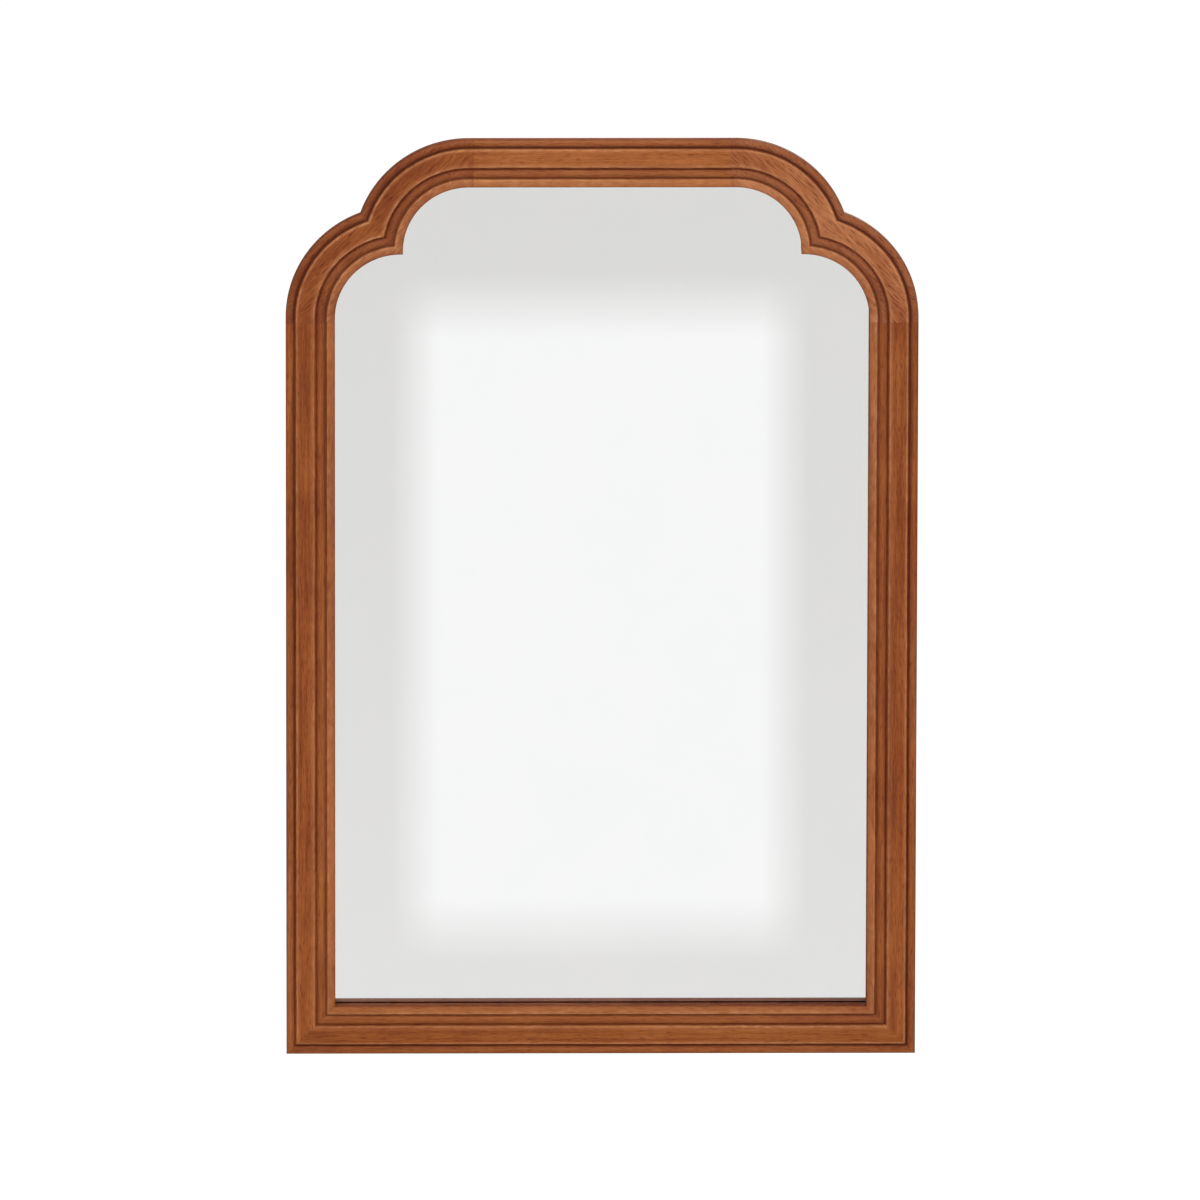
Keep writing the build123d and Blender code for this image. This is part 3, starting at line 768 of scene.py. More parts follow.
@dataclass(frozen=True)
class Outline:
    """The frame as it is set out: straight sides and foot, and two arcs on each shoulder."""

    side: float = 305.0
    top: float = 225.0
    bottom: float = -689.0
    arc_radius: float = 111.0
    upper_x: float = 128.5
    upper_z: float = 114.0
    lower_x: float = 194.0
    lower_z: float = 47.5
    straight: float = 4.5
    spacing: float = 5.0
    arc_spacing: float = 2.6
    middle: float = 23.75
    arris_rows: Place = (0.12, 0.6)
    straight_rows: tuple[float, ...] = (0.0, 0.12, 0.6, 2.4)

    def shares(self, length: float, spacing: float) -> np.ndarray:
        """Even places from 0 to 1, with two more rows close to each end for a crisp arris."""
        count = max(2, int(round(length / spacing)))
        near = np.array(self.arris_rows) / length
        between = np.linspace(0, 1, count + 1)[1:-1]
        return np.concatenate([[0.0], near, between, 1 - near[::-1], [1.0]])

    def meeting(self, inset: np.ndarray) -> np.ndarray:
        """Where the right shoulder's two arcs meet: on the line that halves the two centres, out
        by the root of the radius squared less half the centres' distance squared."""
        lower = np.array([self.lower_x, self.lower_z])
        upper = np.array([self.upper_x, self.upper_z])
        gap = lower - upper
        outward = np.array([-gap[1], gap[0]]) / np.linalg.norm(gap)
        half = np.linalg.norm(gap) / 2
        reach = np.sqrt((self.arc_radius - inset) ** 2 - half**2)
        return (lower + upper) / 2 + outward * reach[:, None]

    def foot(self, inset: np.ndarray) -> tuple[np.ndarray, np.ndarray]:
        """Rows along the bottom rail, from mitre to mitre, and each row's run round the frame."""
        length = 2 * (self.side - self.middle)
        share = self.shares(length, self.spacing)[:, None]
        reach = self.side - inset
        x = -reach + 2 * reach * share
        z = np.broadcast_to(self.bottom + inset, x.shape)
        return np.stack([x, z], -1), (share[:, 0] - 0.5) * length

    def stile(self, inset: np.ndarray) -> tuple[np.ndarray, np.ndarray]:
        """Rows up the right stile, from its mitre to the shoulder joint, and their runs."""
        joint = self.lower_z - self.straight
        length = joint - self.bottom - self.middle
        share = self.shares(length, self.spacing)[:, None]
        z = (self.bottom + inset) * (1 - share) + joint * share
        x = np.broadcast_to(self.side - inset, z.shape)
        return np.stack([x, z], -1), self.side - self.middle + share[:, 0] * length

    def shoulder(self, inset: np.ndarray) -> tuple[np.ndarray, np.ndarray]:
        """Rows round the right shoulder: a short straight, the lower arc as far as the meeting,
        the upper arc from there, and a short straight. x and z are centre plus radius times the
        cosine and sine of the turn."""
        radius = self.arc_radius - inset
        meet = self.meeting(inset)
        lower_end = np.arctan2(meet[:, 1] - self.lower_z, meet[:, 0] - self.lower_x)
        upper_start = np.arctan2(meet[:, 1] - self.upper_z, meet[:, 0] - self.upper_x)
        own = self.arc_radius - self.middle
        at_middle = self.meeting(np.array([self.middle]))[0]
        lower_arc = own * np.arctan2(at_middle[1] - self.lower_z, at_middle[0] - self.lower_x)
        share = self.shares(lower_arc, self.arc_spacing)[:, None]
        turn = lower_end * share
        low = [self.lower_x + radius * np.cos(turn), self.lower_z + radius * np.sin(turn)]
        turn = upper_start * (1 - share) + pi / 2 * share
        high = [self.upper_x + radius * np.cos(turn), self.upper_z + radius * np.sin(turn)]
        near = np.array(self.straight_rows)[:, None]
        rise = [self.side - inset + 0 * near, self.lower_z - self.straight + near + 0 * inset]
        level = [
            self.upper_x - self.straight + near[::-1] + 0 * inset,
            self.top - inset + 0 * near,
        ]
        rows = [np.stack(part, -1) for part in (rise, low, [c[1:] for c in high], level)]
        start = self.side - self.middle + self.lower_z - self.straight - self.bottom - self.middle
        runs = [near[:, 0], self.straight + share[:, 0] * lower_arc]
        runs.append(self.straight + lower_arc * (1 + share[1:, 0]))
        runs.append(2 * lower_arc + 2 * self.straight - near[::-1, 0])
        return np.vstack(rows), start + np.concatenate(runs)

    def head(self, inset: np.ndarray, start: float) -> tuple[np.ndarray, np.ndarray]:
        """Rows along the top rail, from the right joint to the left one, and their runs."""
        reach = self.upper_x - self.straight
        share = self.shares(2 * reach, self.spacing)[:, None]
        x = reach - 2 * reach * share + 0 * inset
        z = np.broadcast_to(self.top - inset, x.shape)
        return np.stack([x, z], -1), start + share[:, 0] * 2 * reach


@dataclass(frozen=True)
class HandWork:
    """How far scraping and sanding by hand left the moulding off true, in millimetres.

    Each of the lines has its inset, how far to either side it moves the surface, and by how much.
    Nothing rises over the highest level, so the timbers stay inside the CAD part's box.
    """

    lines: tuple[tuple[float, float, float], ...] = (
        (8.6, 4.0, 0.22),
        (28.2, 4.0, 0.24),
        (38.8, 3.6, 0.24),
        (3.0, 3.5, 0.10),
        (33.0, 4.0, 0.10),
    )
    waves: tuple[int, ...] = (5, 11, 23, 37, 61, 97, 149, 211)
    sink: float = 0.10
    highest: float = 23.495
    front_height: float = 15.0
    wave_shift: int = 2
    wave_size: Place = (0.6, 1.0)
    wave_fade: float = 0.28
    swing: float = 1.6
    sideways_seed: int = 100
    sunk_seed: int = 200

    def waver(self, run: np.ndarray, loop: float, seed: int) -> np.ndarray:
        """A line's wander at each run: sines with whole numbers of waves round the closed frame,
        so that neighbouring timbers agree where they meet, each weaker as it gets shorter."""
        draw = np.random.default_rng(seed)
        shift = self.wave_shift
        counts = np.array(self.waves) + draw.integers(-shift, shift + 1, len(self.waves))
        size = draw.uniform(*self.wave_size, len(counts))
        size = size * np.array(self.waves, float) ** -self.wave_fade
        phase = draw.uniform(0, 2 * pi, len(counts))
        total = (size * np.sin(2 * pi * run[:, None] / loop * counts + phase)).sum(-1)
        return total / size.sum() * self.swing

    def worn(self, section: np.ndarray, run: np.ndarray, loop: float) -> np.ndarray:
        """Section points for each row, with every quirk line moved sideways by its own waver and
        the front sunk by a trace.

        Args:
            section: Inset and height of the true section.
            run: Run of each row round the frame.
            loop: Length of the whole closed run.

        Returns:
            Inset and height shaped (rows, points, 2).
        """
        inset, height = section.T
        front = (height > self.front_height).astype(float)
        moved = np.repeat(section[None], len(run), axis=0)
        for k, (centre, reach, size) in enumerate(self.lines):
            window = np.cos(np.clip((inset - centre) / reach, -1, 1) * pi / 2) ** 2 * front
            aside = self.waver(run, loop, self.sideways_seed + k)[:, None]
            moved[..., 0] += size * aside * window
            drop = self.sink * (1 + self.waver(run, loop, self.sunk_seed + k)[:, None]) / 2
            moved[..., 1] -= np.clip(drop, 0, None) * window
        moved[..., 0] = np.maximum(moved[..., 0], 0.0)
        moved[..., 1] = np.minimum(moved[..., 1], self.highest)
        return moved


@dataclass(frozen=True)
class Timber:
    """One timber of the frame: its name, slot and finish, its tone at either end, where a paler
    upper end is painted light from above, how much dark glazing and painted shade it has, how far
    its arrises are worn back and carry painted highlights, and how much painted shade its two beads
    take on top of that."""

    node: str
    slot: str
    finish: StainedTimber
    tones_and_top_light: Place = (0.0, 0.0)
    glazed_and_shaded: float = 1.0
    rubbed_and_highlight: float = 1.0
    beads: float = 0.0


@dataclass
class MouldedFrame:
    """The six timbers, each the moulding carried along its own stretch of the outline.

    The stops are pairs of a station round the section and a value from 0 to 1: how much dark
    glazing and painted shade lie there, darkest in the grooves, on the slopes into them, at the
    sight edge and along the outer edge; how far the stain is worn back, together with painted
    highlights on the arrises and bead crests; and where the beads take extra painted shade.
    """

    shop: Workshop
    moulding: Moulding = Moulding()
    outline: Outline = Outline()
    hand: HandWork = HandWork()
    # Dark glazing plus painted shade: the grooves, the bead's slope into its groove, the sight
    # edge, the rabbet and the outer side are darkened.
    glaze_and_shade_stops: Stops = (
        (0.0, 0.60), (1.0, 0.16), (3.4, 0.05), (5.8, 0.15), (7.1, 0.48), (8.0, 0.95),
        (8.8, 0.95), (9.2, 0.15), (9.6, 0.00), (12.0, 0.04), (25.0, 0.04), (27.4, 0.00),
        (28.4, 0.10), (28.9, 0.80), (29.5, 0.78), (30.2, 0.30), (31.2, 0.08), (34.5, 0.05),
        (36.6, 0.06), (37.6, 0.22), (38.3, 0.82), (38.9, 0.84), (39.2, 0.25), (39.6, 0.00),
        (46.4, 0.03), (47.4, 0.40), (48.5, 0.60), (60.0, 0.50), (70.0, 0.25), (110.0, 0.10),
        (124.0, 0.25), (140.0, 0.55),
    )
    # Worn-back arrises plus painted highlights on the arrises and on the bead crests.
    wear_and_highlight_stops: Stops = (
        (0.0, 0.00), (1.0, 0.10), (3.0, 0.06), (6.0, 0.00), (9.2, 0.15), (10.0, 0.60),
        (11.2, 0.32), (12.4, 0.00), (23.0, 0.00), (26.0, 0.26), (27.3, 0.56), (28.2, 0.30),
        (28.6, 0.00), (33.0, 0.08), (36.0, 0.04), (39.2, 0.20), (40.0, 0.60), (41.4, 0.40),
        (44.0, 0.26), (46.4, 0.16), (47.6, 0.00), (140.0, 0.00),
    )
    # Painted shade on the beads, laid on as extra dark glazing.
    bead_shade_stops: Stops = (
        (0.5, 0.0), (2.0, 1.0), (8.0, 1.0), (9.0, 0.0), (29.5, 0.0), (31.0, 1.0),
        (38.0, 1.0), (39.0, 0.0),
    )
    joint_sink: float = 0.10
    joint_glaze: float = 0.75
    nudge: float = 0.01
    patchy: float = 0.18
    patch_seed: int = 300
    rub_and_highlight_patchy: float = 0.4
    rub_and_highlight_seed: int = 301
    sharp: float = 34.0

    @staticmethod
    def along(station: np.ndarray, stops: Stops) -> np.ndarray:
        """Read a table of stations and values at each station."""
        return np.interp(station, *zip(*stops))

    def timber(
        self, piece: Timber, rows: Rows, run: np.ndarray, loop: float, mirrored: bool
    ) -> bpy.types.Object:
        """Carry the section along one stretch of the outline.

        Args:
            piece: The timber's name, slot and finish.
            rows: Outline method that gives x and z for an array of insets.
            run: Run of each row round the frame.
            loop: Length of the whole closed run.
            mirrored: The stretch is the mirror image of the right-hand one.

        Returns:
            The timber's object.
        """
        section = self.moulding.corners()
        station = self.moulding.station(section)
        worn = self.hand.worn(section, run, loop)
        true = rows(section[:, 0])[0]
        slide = (rows(section[:, 0] + self.nudge)[0] - true) / self.nudge
        flat = true + slide * (worn[..., 0] - section[:, 0])[..., None]
        height = worn[..., 1].copy()
        front = section[:, 1] > self.hand.front_height
        for row in (0, -1):
            height[row, front] -= self.joint_sink
        x = -flat[..., 0] if mirrored else flat[..., 0]
        grid = np.stack([x, -(WALL_GAP + height), flat[..., 1]], -1)
        patches = self.hand.waver(run, loop, self.patch_seed)[:, None]
        rub_and_highlight_waver = self.hand.waver(run, loop, self.rub_and_highlight_seed)[:, None]
        # Dark glazing with painted shade, patchy along the run.
        glaze_and_shade = self.along(station, self.glaze_and_shade_stops) * (1 + self.patchy * patches)
        glaze_and_shade = glaze_and_shade * piece.glazed_and_shaded + piece.beads * self.along(station, self.bead_shade_stops)
        # Tone from end to end; a paler upper end is painted light from above.
        tone = np.linspace(*piece.tones_and_top_light, len(run))[:, None] + 0 * glaze_and_shade
        # Worn-back arrises with painted highlights, patchy along the run.
        wear_and_highlight = self.along(station, self.wear_and_highlight_stops) * (1 + self.rub_and_highlight_patchy * rub_and_highlight_waver)
        wear_and_highlight = wear_and_highlight * piece.rubbed_and_highlight
        glaze_and_shade[[0, -1]] = np.maximum(glaze_and_shade[[0, -1]], self.joint_glaze)
        wear_and_highlight[[0, -1]] = 0.0
        values = {"glaze_and_shade": np.clip(glaze_and_shade, 0, 1), "wear_and_highlight": np.clip(wear_and_highlight, 0, 1), "tone": tone}
        made = lattice_solid(piece.node + "_timber", grid, sharp=self.sharp, stations=values)
        seat(made, "frame", piece.slot, piece.finish, piece.node)
        return made

    def build(self) -> None:
        """Build the six timbers, in order round the frame from the foot."""
        lay = self.outline
        probe = np.array([lay.middle])
        foot_run = lay.foot(probe)[1]
        stile_run = lay.stile(probe)[1]
        shoulder_run = lay.shoulder(probe)[1]
        head_run = lay.head(probe, shoulder_run[-1])[1]
        loop = head_run[0] + head_run[-1]
        shop = self.shop

        def head_rows(inset: np.ndarray) -> tuple[np.ndarray, np.ndarray]:
            """The top rail's rows, with the run that its joint starts at."""
            return lay.head(inset, shoulder_run[-1])

        # The top rail and the shoulders take more painted shade in their grooves and beads,
        # stronger painted highlights and, for the top rail, a paler painted tone than the bottom
        # rail, as under light from above; the upper ends of the uprights are painted paler.
        bottom = Timber("bottom_rail", "rail_wood", shop.rail, glazed_and_shaded=0.85, rubbed_and_highlight=1.2)
        top = Timber("top_rail", "rail_wood", shop.rail, (0.07, 0.08), 1.15, 1.35, 0.2)
        right = Timber("right_stile", "stile_wood", shop.stile, (-0.01, 0.0))
        left = Timber("left_stile", "stile_wood", shop.stile, (0.0, 0.01), 0.68)
        right_top = Timber(
            "right_shoulder",
            "right_shoulder_wood",
            shop.right_shoulder,
            tones_and_top_light=(0.01, 0.04),
            glazed_and_shaded=1.15,
            rubbed_and_highlight=1.35,
            beads=0.28,
        )
        left_top = Timber(
            "left_shoulder",
            "left_shoulder_wood",
            shop.left_shoulder,
            tones_and_top_light=(-0.04, -0.01),
            glazed_and_shaded=1.15,
            rubbed_and_highlight=1.3,
            beads=0.25,
        )
        self.timber(bottom, lay.foot, foot_run, loop, False)
        self.timber(right, lay.stile, stile_run, loop, False)
        self.timber(right_top, lay.shoulder, shoulder_run, loop, False)
        self.timber(top, head_rows, head_run, loop, False)
        self.timber(left_top, lay.shoulder, loop - shoulder_run, loop, True)
        self.timber(left, lay.stile, loop - stile_run, loop, True)


# --------------------------------------------------------------------------------------- mirror


@dataclass
class MirrorGlass:
    """A clear pane over a thin silvered sheet, both cut to the frame's outline.

    A film of air parts the two. The sheet's faces whose normals point forwards are silver and
    the rest are painted.
    """

    outline: Outline = Outline()
    inset: float = 42.0
    back: float = 4.5
    thickness: float = 4.0
    silver: float = 0.06
    arris: float = 0.4
    silver_inset: float = 0.05
    film: float = 0.01
    facing: float = -0.5

    def rim(self, inset: float) -> np.ndarray:
        """The outline at one inset as a closed run of x and z: the right half from the foot's
        middle to the head's middle, then its mirror image back again."""
        lay = self.outline
        edge = np.array([inset])
        skip = len(lay.straight_rows) - 1
        rows = lay.shoulder(edge)[0][skip:-skip, 0]
        corner = np.array([[lay.side - inset, lay.bottom + inset]])
        right = np.vstack([[[0.0, lay.bottom + inset]], corner, rows, [[0.0, lay.top - inset]]])
        left = right[-2:0:-1] * (-1, 1)
        return np.vstack([right, left])

    def slab(self, name: str, layers: list[tuple[float, float]]) -> bpy.types.Object:
        """A closed slab whose rim steps through layers of inset and height above the back."""
        rims = [self.rim(inset) for inset, _ in layers]
        grid = [
            np.stack([r[:, 0], np.full(len(r), -(WALL_GAP + height)), r[:, 1]], -1)
            for r, (_, height) in zip(rims, layers)
        ]
        return lattice_solid(name, np.array(grid), sharp=20.0)

    def build(self) -> None:
        """Build the pane and the silvering, which together stand for the CAD glass."""
        start, end, arris = self.back + self.silver, self.back + self.thickness, self.arris
        pane = self.slab(
            "mirror_pane",
            [(self.inset, start), (self.inset, end - arris), (self.inset + arris, end)],
        )
        seat(pane, "frame", "mirror", FloatGlass(), "mirror_glass")
        inset = self.inset + self.silver_inset
        sheet = self.slab("mirror_silvering", [(inset, self.back), (inset, start - self.film)])
        seat(sheet, "frame", "mirror", Silver(), "mirror_glass")
        sheet.data.materials.append(BackPaint().material())
        normals = np.zeros(len(sheet.data.polygons) * 3, np.float32)
        sheet.data.polygons.foreach_get("normal", normals)
        painted = (normals[1::3] > self.facing).astype(np.int32)
        sheet.data.polygons.foreach_set("material_index", painted)


# -------------------------------------------------------------------------------------- hangers


@dataclass(frozen=True)
class PanScrew:
    """A pan-head screw about its own axis: the head stands out of the strap, the shank goes in."""

    head_radius: float = 3.5
    head_height: float = 2.2
    middle: float = 0.12
    crown_radius: float = 2.3
    crown_fall: float = 0.035
    crown_rows: int = 22
    rim_round: float = 1.3
    rim_start: float = 2.25
    rim_drop: float = 0.17
    rim_height: float = 1.4
    rim_rows: int = 8
    rim_first: float = 0.1
    cross_half: float = 0.5
    cross_reach: float = 2.0
    cross_soft: float = 0.16
    cross_depth: float = 1.1
    cross_rise: float = 0.35
    underside: float = 0.02
    length: float = 16.0
    tip: float = 4.0
    tip_power: float = 0.8
    tip_least: float = 0.03
    core: float = 1.45
    thread: float = 0.28
    pitch: float = 1.3
    run_in: float = 1.5
    run_out: float = 3.0
    shank_rows: int = 130

    def arm(self, along: np.ndarray, aside: np.ndarray) -> np.ndarray:
        """How far each point lies inside one arm of the cross, from 0 outside it to 1."""
        wide = np.clip((self.cross_half - aside) / self.cross_soft + 0.5, 0, 1)
        long = np.clip((self.cross_reach - along) / self.cross_soft + 0.5, 0, 1)
        return wide * long

    def head(self, turn: np.ndarray, tilt: float) -> np.ndarray:
        """The head's rows from its middle out: a shallow crown, a round rim, and a cross whose
        floor rises towards the ends of its arms."""
        inner = self.head_radius - self.rim_round
        crown = np.linspace(self.middle, self.crown_radius, self.crown_rows)
        lean = np.linspace(self.rim_first, 1, self.rim_rows) * pi / 2
        radius = np.concatenate([crown, inner + self.rim_round * np.sin(lean)])[:, None]
        edge = np.clip((radius - inner) / self.rim_round, 0, 1)
        rim = self.rim_drop + self.rim_height * (1 - np.sqrt(1 - edge**2))
        fall = np.where(radius >= self.rim_start, rim, self.crown_fall * radius**2)
        x, z = radius * np.cos(turn), radius * np.sin(turn)
        along = np.abs(x * cos(tilt) + z * sin(tilt))
        aside = np.abs(-x * sin(tilt) + z * cos(tilt))
        floor = 1 - self.cross_rise * np.clip(np.hypot(x, z) / self.cross_reach, 0, 1)
        cut = np.maximum(self.arm(along, aside), self.arm(aside, along))
        return np.stack([x, self.head_height - fall - cut * self.cross_depth * floor, z], -1)

    def shank(self, turn: np.ndarray) -> np.ndarray:
        """The rows below the head: its underside, then a core whose thread winds once in each
        pitch, grows under the head and fades out towards the tip."""
        depth = np.linspace(0, self.length, self.shank_rows)[:, None]
        left = self.length - depth
        core = self.core * np.clip(left / self.tip, self.tip_least, 1) ** self.tip_power
        thread = np.clip(depth / self.run_in, 0, 1) * np.clip(left / self.run_out, 0, 1)
        ridge = (0.5 + 0.5 * np.cos(turn - 2 * pi * depth / self.pitch)) ** 3
        flank = np.full((1, len(turn)), self.head_radius)
        radius = np.vstack([flank, core + self.thread * thread * ridge])
        height = np.vstack([[[self.underside]], -depth]) + 0 * radius
        return np.stack([radius * np.cos(turn), height, radius * np.sin(turn)], -1)


@dataclass
class Hanger:
    """One hanger: a strip folded round the bar of a D-shaped ring, and two pan-head screws."""

    side: int
    shop: Workshop
    centre_x: float = 282.5
    pivot_y: float = -3.72
    pivot_z: float = -15.463
    strip: float = 1.2
    width: float = 12.0
    length: float = 34.0
    foot_round: float = 4.0
    wire: float = 1.5
    play: float = 0.08
    half_width: float = 9.0
    leg: float = 8.0
    ring_corner: float = 2.5
    rest_gap: float = 0.1
    bar_steps: int = 8
    bend_steps: int = 10
    leg_steps: int = 6
    bow_steps: int = 25
    wire_sides: int = 24
    wrap: float = 250.0
    wrap_steps: int = 46
    neck_drop: float = 5.2
    neck_reins: Place = (1.3, 1.9)
    neck_steps: int = 12
    inner_steps: int = 20
    outer_steps: int = 16
    ease: float = 0.25
    soften: float = 0.3
    leaf_gap: float = 0.004
    screw: PanScrew = PanScrew()
    screw_sides: int = 72
    screw_drops: Place = (9.0, 26.0)

    @property
    def hand(self) -> str:
        """Which side this hanger is on, as its nodes' names say."""
        return "left" if self.side < 0 else "right"

    def ring(self) -> bpy.types.Object:
        """The D ring: a round wire carried along a bar, two rounded corners, two legs and half a
        circle. Each point is the path plus the wire's radius times cos on the path's own normal
        and sin on the ring's."""
        w, leg, corner = self.half_width, self.leg, self.ring_corner
        quarter = np.linspace(0, pi / 2, self.bend_steps)
        bend = np.stack(
            [w - corner + corner * np.sin(quarter), corner - corner * np.cos(quarter)], -1
        )
        along = np.linspace(0, w - corner, self.bar_steps)[:-1]
        bar = np.stack([along, 0 * along], -1)
        up = np.linspace(corner, leg, self.leg_steps)[1:-1]
        shank = np.stack([w + 0 * up, up], -1)
        bow = np.linspace(0, pi / 2, self.bow_steps)
        top = np.stack([w * np.cos(bow), leg + w * np.sin(bow)], -1)
        right = np.vstack([bar, bend, shank, top])
        path = np.vstack([right, right[-2:0:-1] * (-1, 1)])
        ahead = np.roll(path, -1, 0) - np.roll(path, 1, 0)
        ahead /= np.linalg.norm(ahead, axis=1)[:, None]
        normal = np.stack([ahead[:, 1], -ahead[:, 0]], -1)
        turn = np.linspace(0, 2 * pi, self.wire_sides, endpoint=False)
        flat = path[:, None] + self.wire * np.cos(turn)[None, :, None] * normal[:, None]
        off = np.broadcast_to(self.wire * np.sin(turn), flat.shape[:2])
        knuckle = self.wire + self.play + self.strip
        lean = asin((knuckle - self.wire - self.rest_gap) / (leg + w))
        grid = np.stack(
            [
                self.side * self.centre_x + flat[..., 0],
                self.pivot_y - flat[..., 1] * sin(lean) - off * cos(lean),
                self.pivot_z + flat[..., 1] * cos(lean) - off * sin(lean),
            ],
            -1,
        )
        made = lattice_solid(self.hand + "_hanger_ring", grid, ring=True, sharp=80.0)
        body = self.hand + "_ring"
        seat(made, body, "hanger_steel", self.shop.hanger_steel, self.hand + "_d_ring")
        return made

    def fold(self) -> tuple[np.ndarray, np.ndarray]:
        """The strip's centre line in y and z, from the foot of its inner leaf up to the knuckle,
        round the bar and back down the outer leaf, with the length left to the nearer foot."""
        inner = -WALL_GAP + self.strip / 2
        outer = inner + self.strip
        round_bar = self.pivot_y - inner
        low = self.pivot_z - self.length
        corner = self.foot_round * (1 - np.cos(np.linspace(0, pi / 2, self.bend_steps)))
        up = np.linspace(self.foot_round, self.length, self.inner_steps)[1:]
        up = np.concatenate([corner, up])
        rise = np.stack([np.full(len(up), inner), low + up], -1)
        turn = np.radians(np.linspace(0, self.wrap, self.wrap_steps))[1:]
        loop = np.stack(
            [self.pivot_y - round_bar * np.cos(turn), self.pivot_z + round_bar * np.sin(turn)], -1
        )
        start = loop[-1]
        ahead = np.array([np.sin(turn[-1]), np.cos(turn[-1])])
        end = np.array([outer, self.pivot_z - self.neck_drop])
        share = np.linspace(0, 1, self.neck_steps)[1:, None]
        rest = 1 - share
        first, last = self.neck_reins
        reins = [start, start + ahead * first, end + (0, last), end]
        weights = [rest**3, 3 * share * rest**2, 3 * share**2 * rest, share**3]
        neck = sum(weight * rein for weight, rein in zip(weights, reins))
        down = np.linspace(end[1], low + self.foot_round, self.outer_steps)[1:]
        down = np.concatenate([down, low + corner[-2::-1]])
        fall = np.stack([np.full(len(down), outer), down], -1)
        path = np.vstack([rise, loop, neck, fall])
        run = np.concatenate([[0], np.cumsum(np.linalg.norm(np.diff(path, axis=0), axis=1))])
        return path, np.minimum(run, run[-1] - run)

    def strap(self) -> bpy.types.Object:
        """The strap: the strip's section, a flat bar with eased edges, carried along the fold.
        Near each foot the half width shrinks along a quarter circle, which rounds the corners."""
        path, left = self.fold()
        ahead = np.gradient(path, axis=0)
        ahead /= np.linalg.norm(ahead, axis=1)[:, None]
        normal = np.stack([-ahead[:, 1], ahead[:, 0]], -1)
        short = np.clip(self.foot_round - left, 0, self.foot_round)
        half = self.width / 2 - self.foot_round + np.sqrt(self.foot_round**2 - short**2)
        thick = self.strip / 2 - self.leaf_gap
        eased = np.array([0.0, self.soften, 1.0]) * self.ease
        inward = np.tile(np.concatenate([eased, eased[::-1]]), 2)
        edge = thick - eased[::-1]
        through = np.concatenate([edge, edge[::-1], -edge, -edge[::-1]])
        across = np.repeat([-1.0, 1.0, 1.0, -1.0], len(eased))
        x = across * (half[:, None] - inward)
        grid = np.stack(
            [
                self.side * self.centre_x + x,
                path[:, None, 0] + normal[:, None, 0] * through,
                path[:, None, 1] + normal[:, None, 1] * through,
            ],
            -1,
        )
        made = lattice_solid(self.hand + "_strap", grid, sharp=40.0)
        seat(made, "frame", "hanger_steel", self.shop.hanger_steel, self.hand + "_hanger_strap")
        return made

    def driven(self, drop: float, head_turn: float) -> bpy.types.Object:
        """One screw, driven in square to the strap.

        Args:
            drop: How far below the pivot the screw goes in.
            head_turn: How far the cross is turned, in degrees.

        Returns:
            The screw's object.
        """
        turn = np.linspace(0, 2 * pi, self.screw_sides, endpoint=False)
        shape = [self.screw.head(turn, radians(head_turn)), self.screw.shank(turn)]
        seat_y = 2 * self.strip - WALL_GAP
        grid = np.vstack(shape) + (self.side * self.centre_x, seat_y, self.pivot_z - drop)
        return lattice_solid("screw", grid, sharp=28.0)

    def build(self) -> None:
        """Build the strap and its two screws on the frame, and the ring on its own body."""
        self.strap()
        turns = (18.0, -33.0) if self.side < 0 else (52.0, 7.0)
        screws = merge(
            self.hand + "_screws", [self.driven(d, t) for d, t in zip(self.screw_drops, turns)]
        )
        seat(screws, "frame", "screw_steel", self.shop.screw_steel, self.hand + "_hanger_screws")
        self.ring()


# -------------------------------------------------------------------------- bumpers and fixings


@dataclass
class Bumpers:
    """Four rubber bumpers that keep the frame off the wall.

    The foot and the face are pairs of radius and height, the foot's above the wood and the face's
    from the wall.
    """

    shop: Workshop
    foot: Stops = ((0.5, 0.0), (8.5, 0.0), (9.0, 0.1), (9.0, 0.4), (8.85, 0.55))
    top: float = 7.5
    ease: float = 0.8
    face: Stops = ((5.6, 0.0), (5.2, -0.12), (2.0, -0.3), (0.3, -0.34))
    side_steps: int = 8
    rim_steps: int = 7
    places: dict[str, Place] = field(
        default_factory=lambda: {
            "bumper_lower_left": (-245.0, -667.0),
            "bumper_lower_right": (245.0, -667.0),
            "bumper_upper_left": (-85.0, 203.0),
            "bumper_upper_right": (85.0, 203.0),
        }
    )

    def build(self) -> None:
        """Turn each bumper: a thin adhesive foot, a tapering side, an eased rim and a face that
        dips by a trace inside a flat ring."""
        foot = np.array(self.foot) - (0.0, WALL_GAP)
        side = np.linspace(foot[-1], (self.top, -self.ease), self.side_steps)[1:-1]
        turn = np.linspace(0, pi / 2, self.rim_steps)
        centre = (self.top - self.ease, -self.ease)
        rim = np.stack([np.cos(turn), np.sin(turn)], -1) * self.ease + centre
        radius, height = np.vstack([foot, side, rim, self.face]).T
        for name, (x, z) in self.places.items():
            made = turned_solid(name + "_pad", radius, height, np.array([x, 0.0, z]))
            seat(made, "frame", "bumper_rubber", self.shop.bumper_rubber, name)


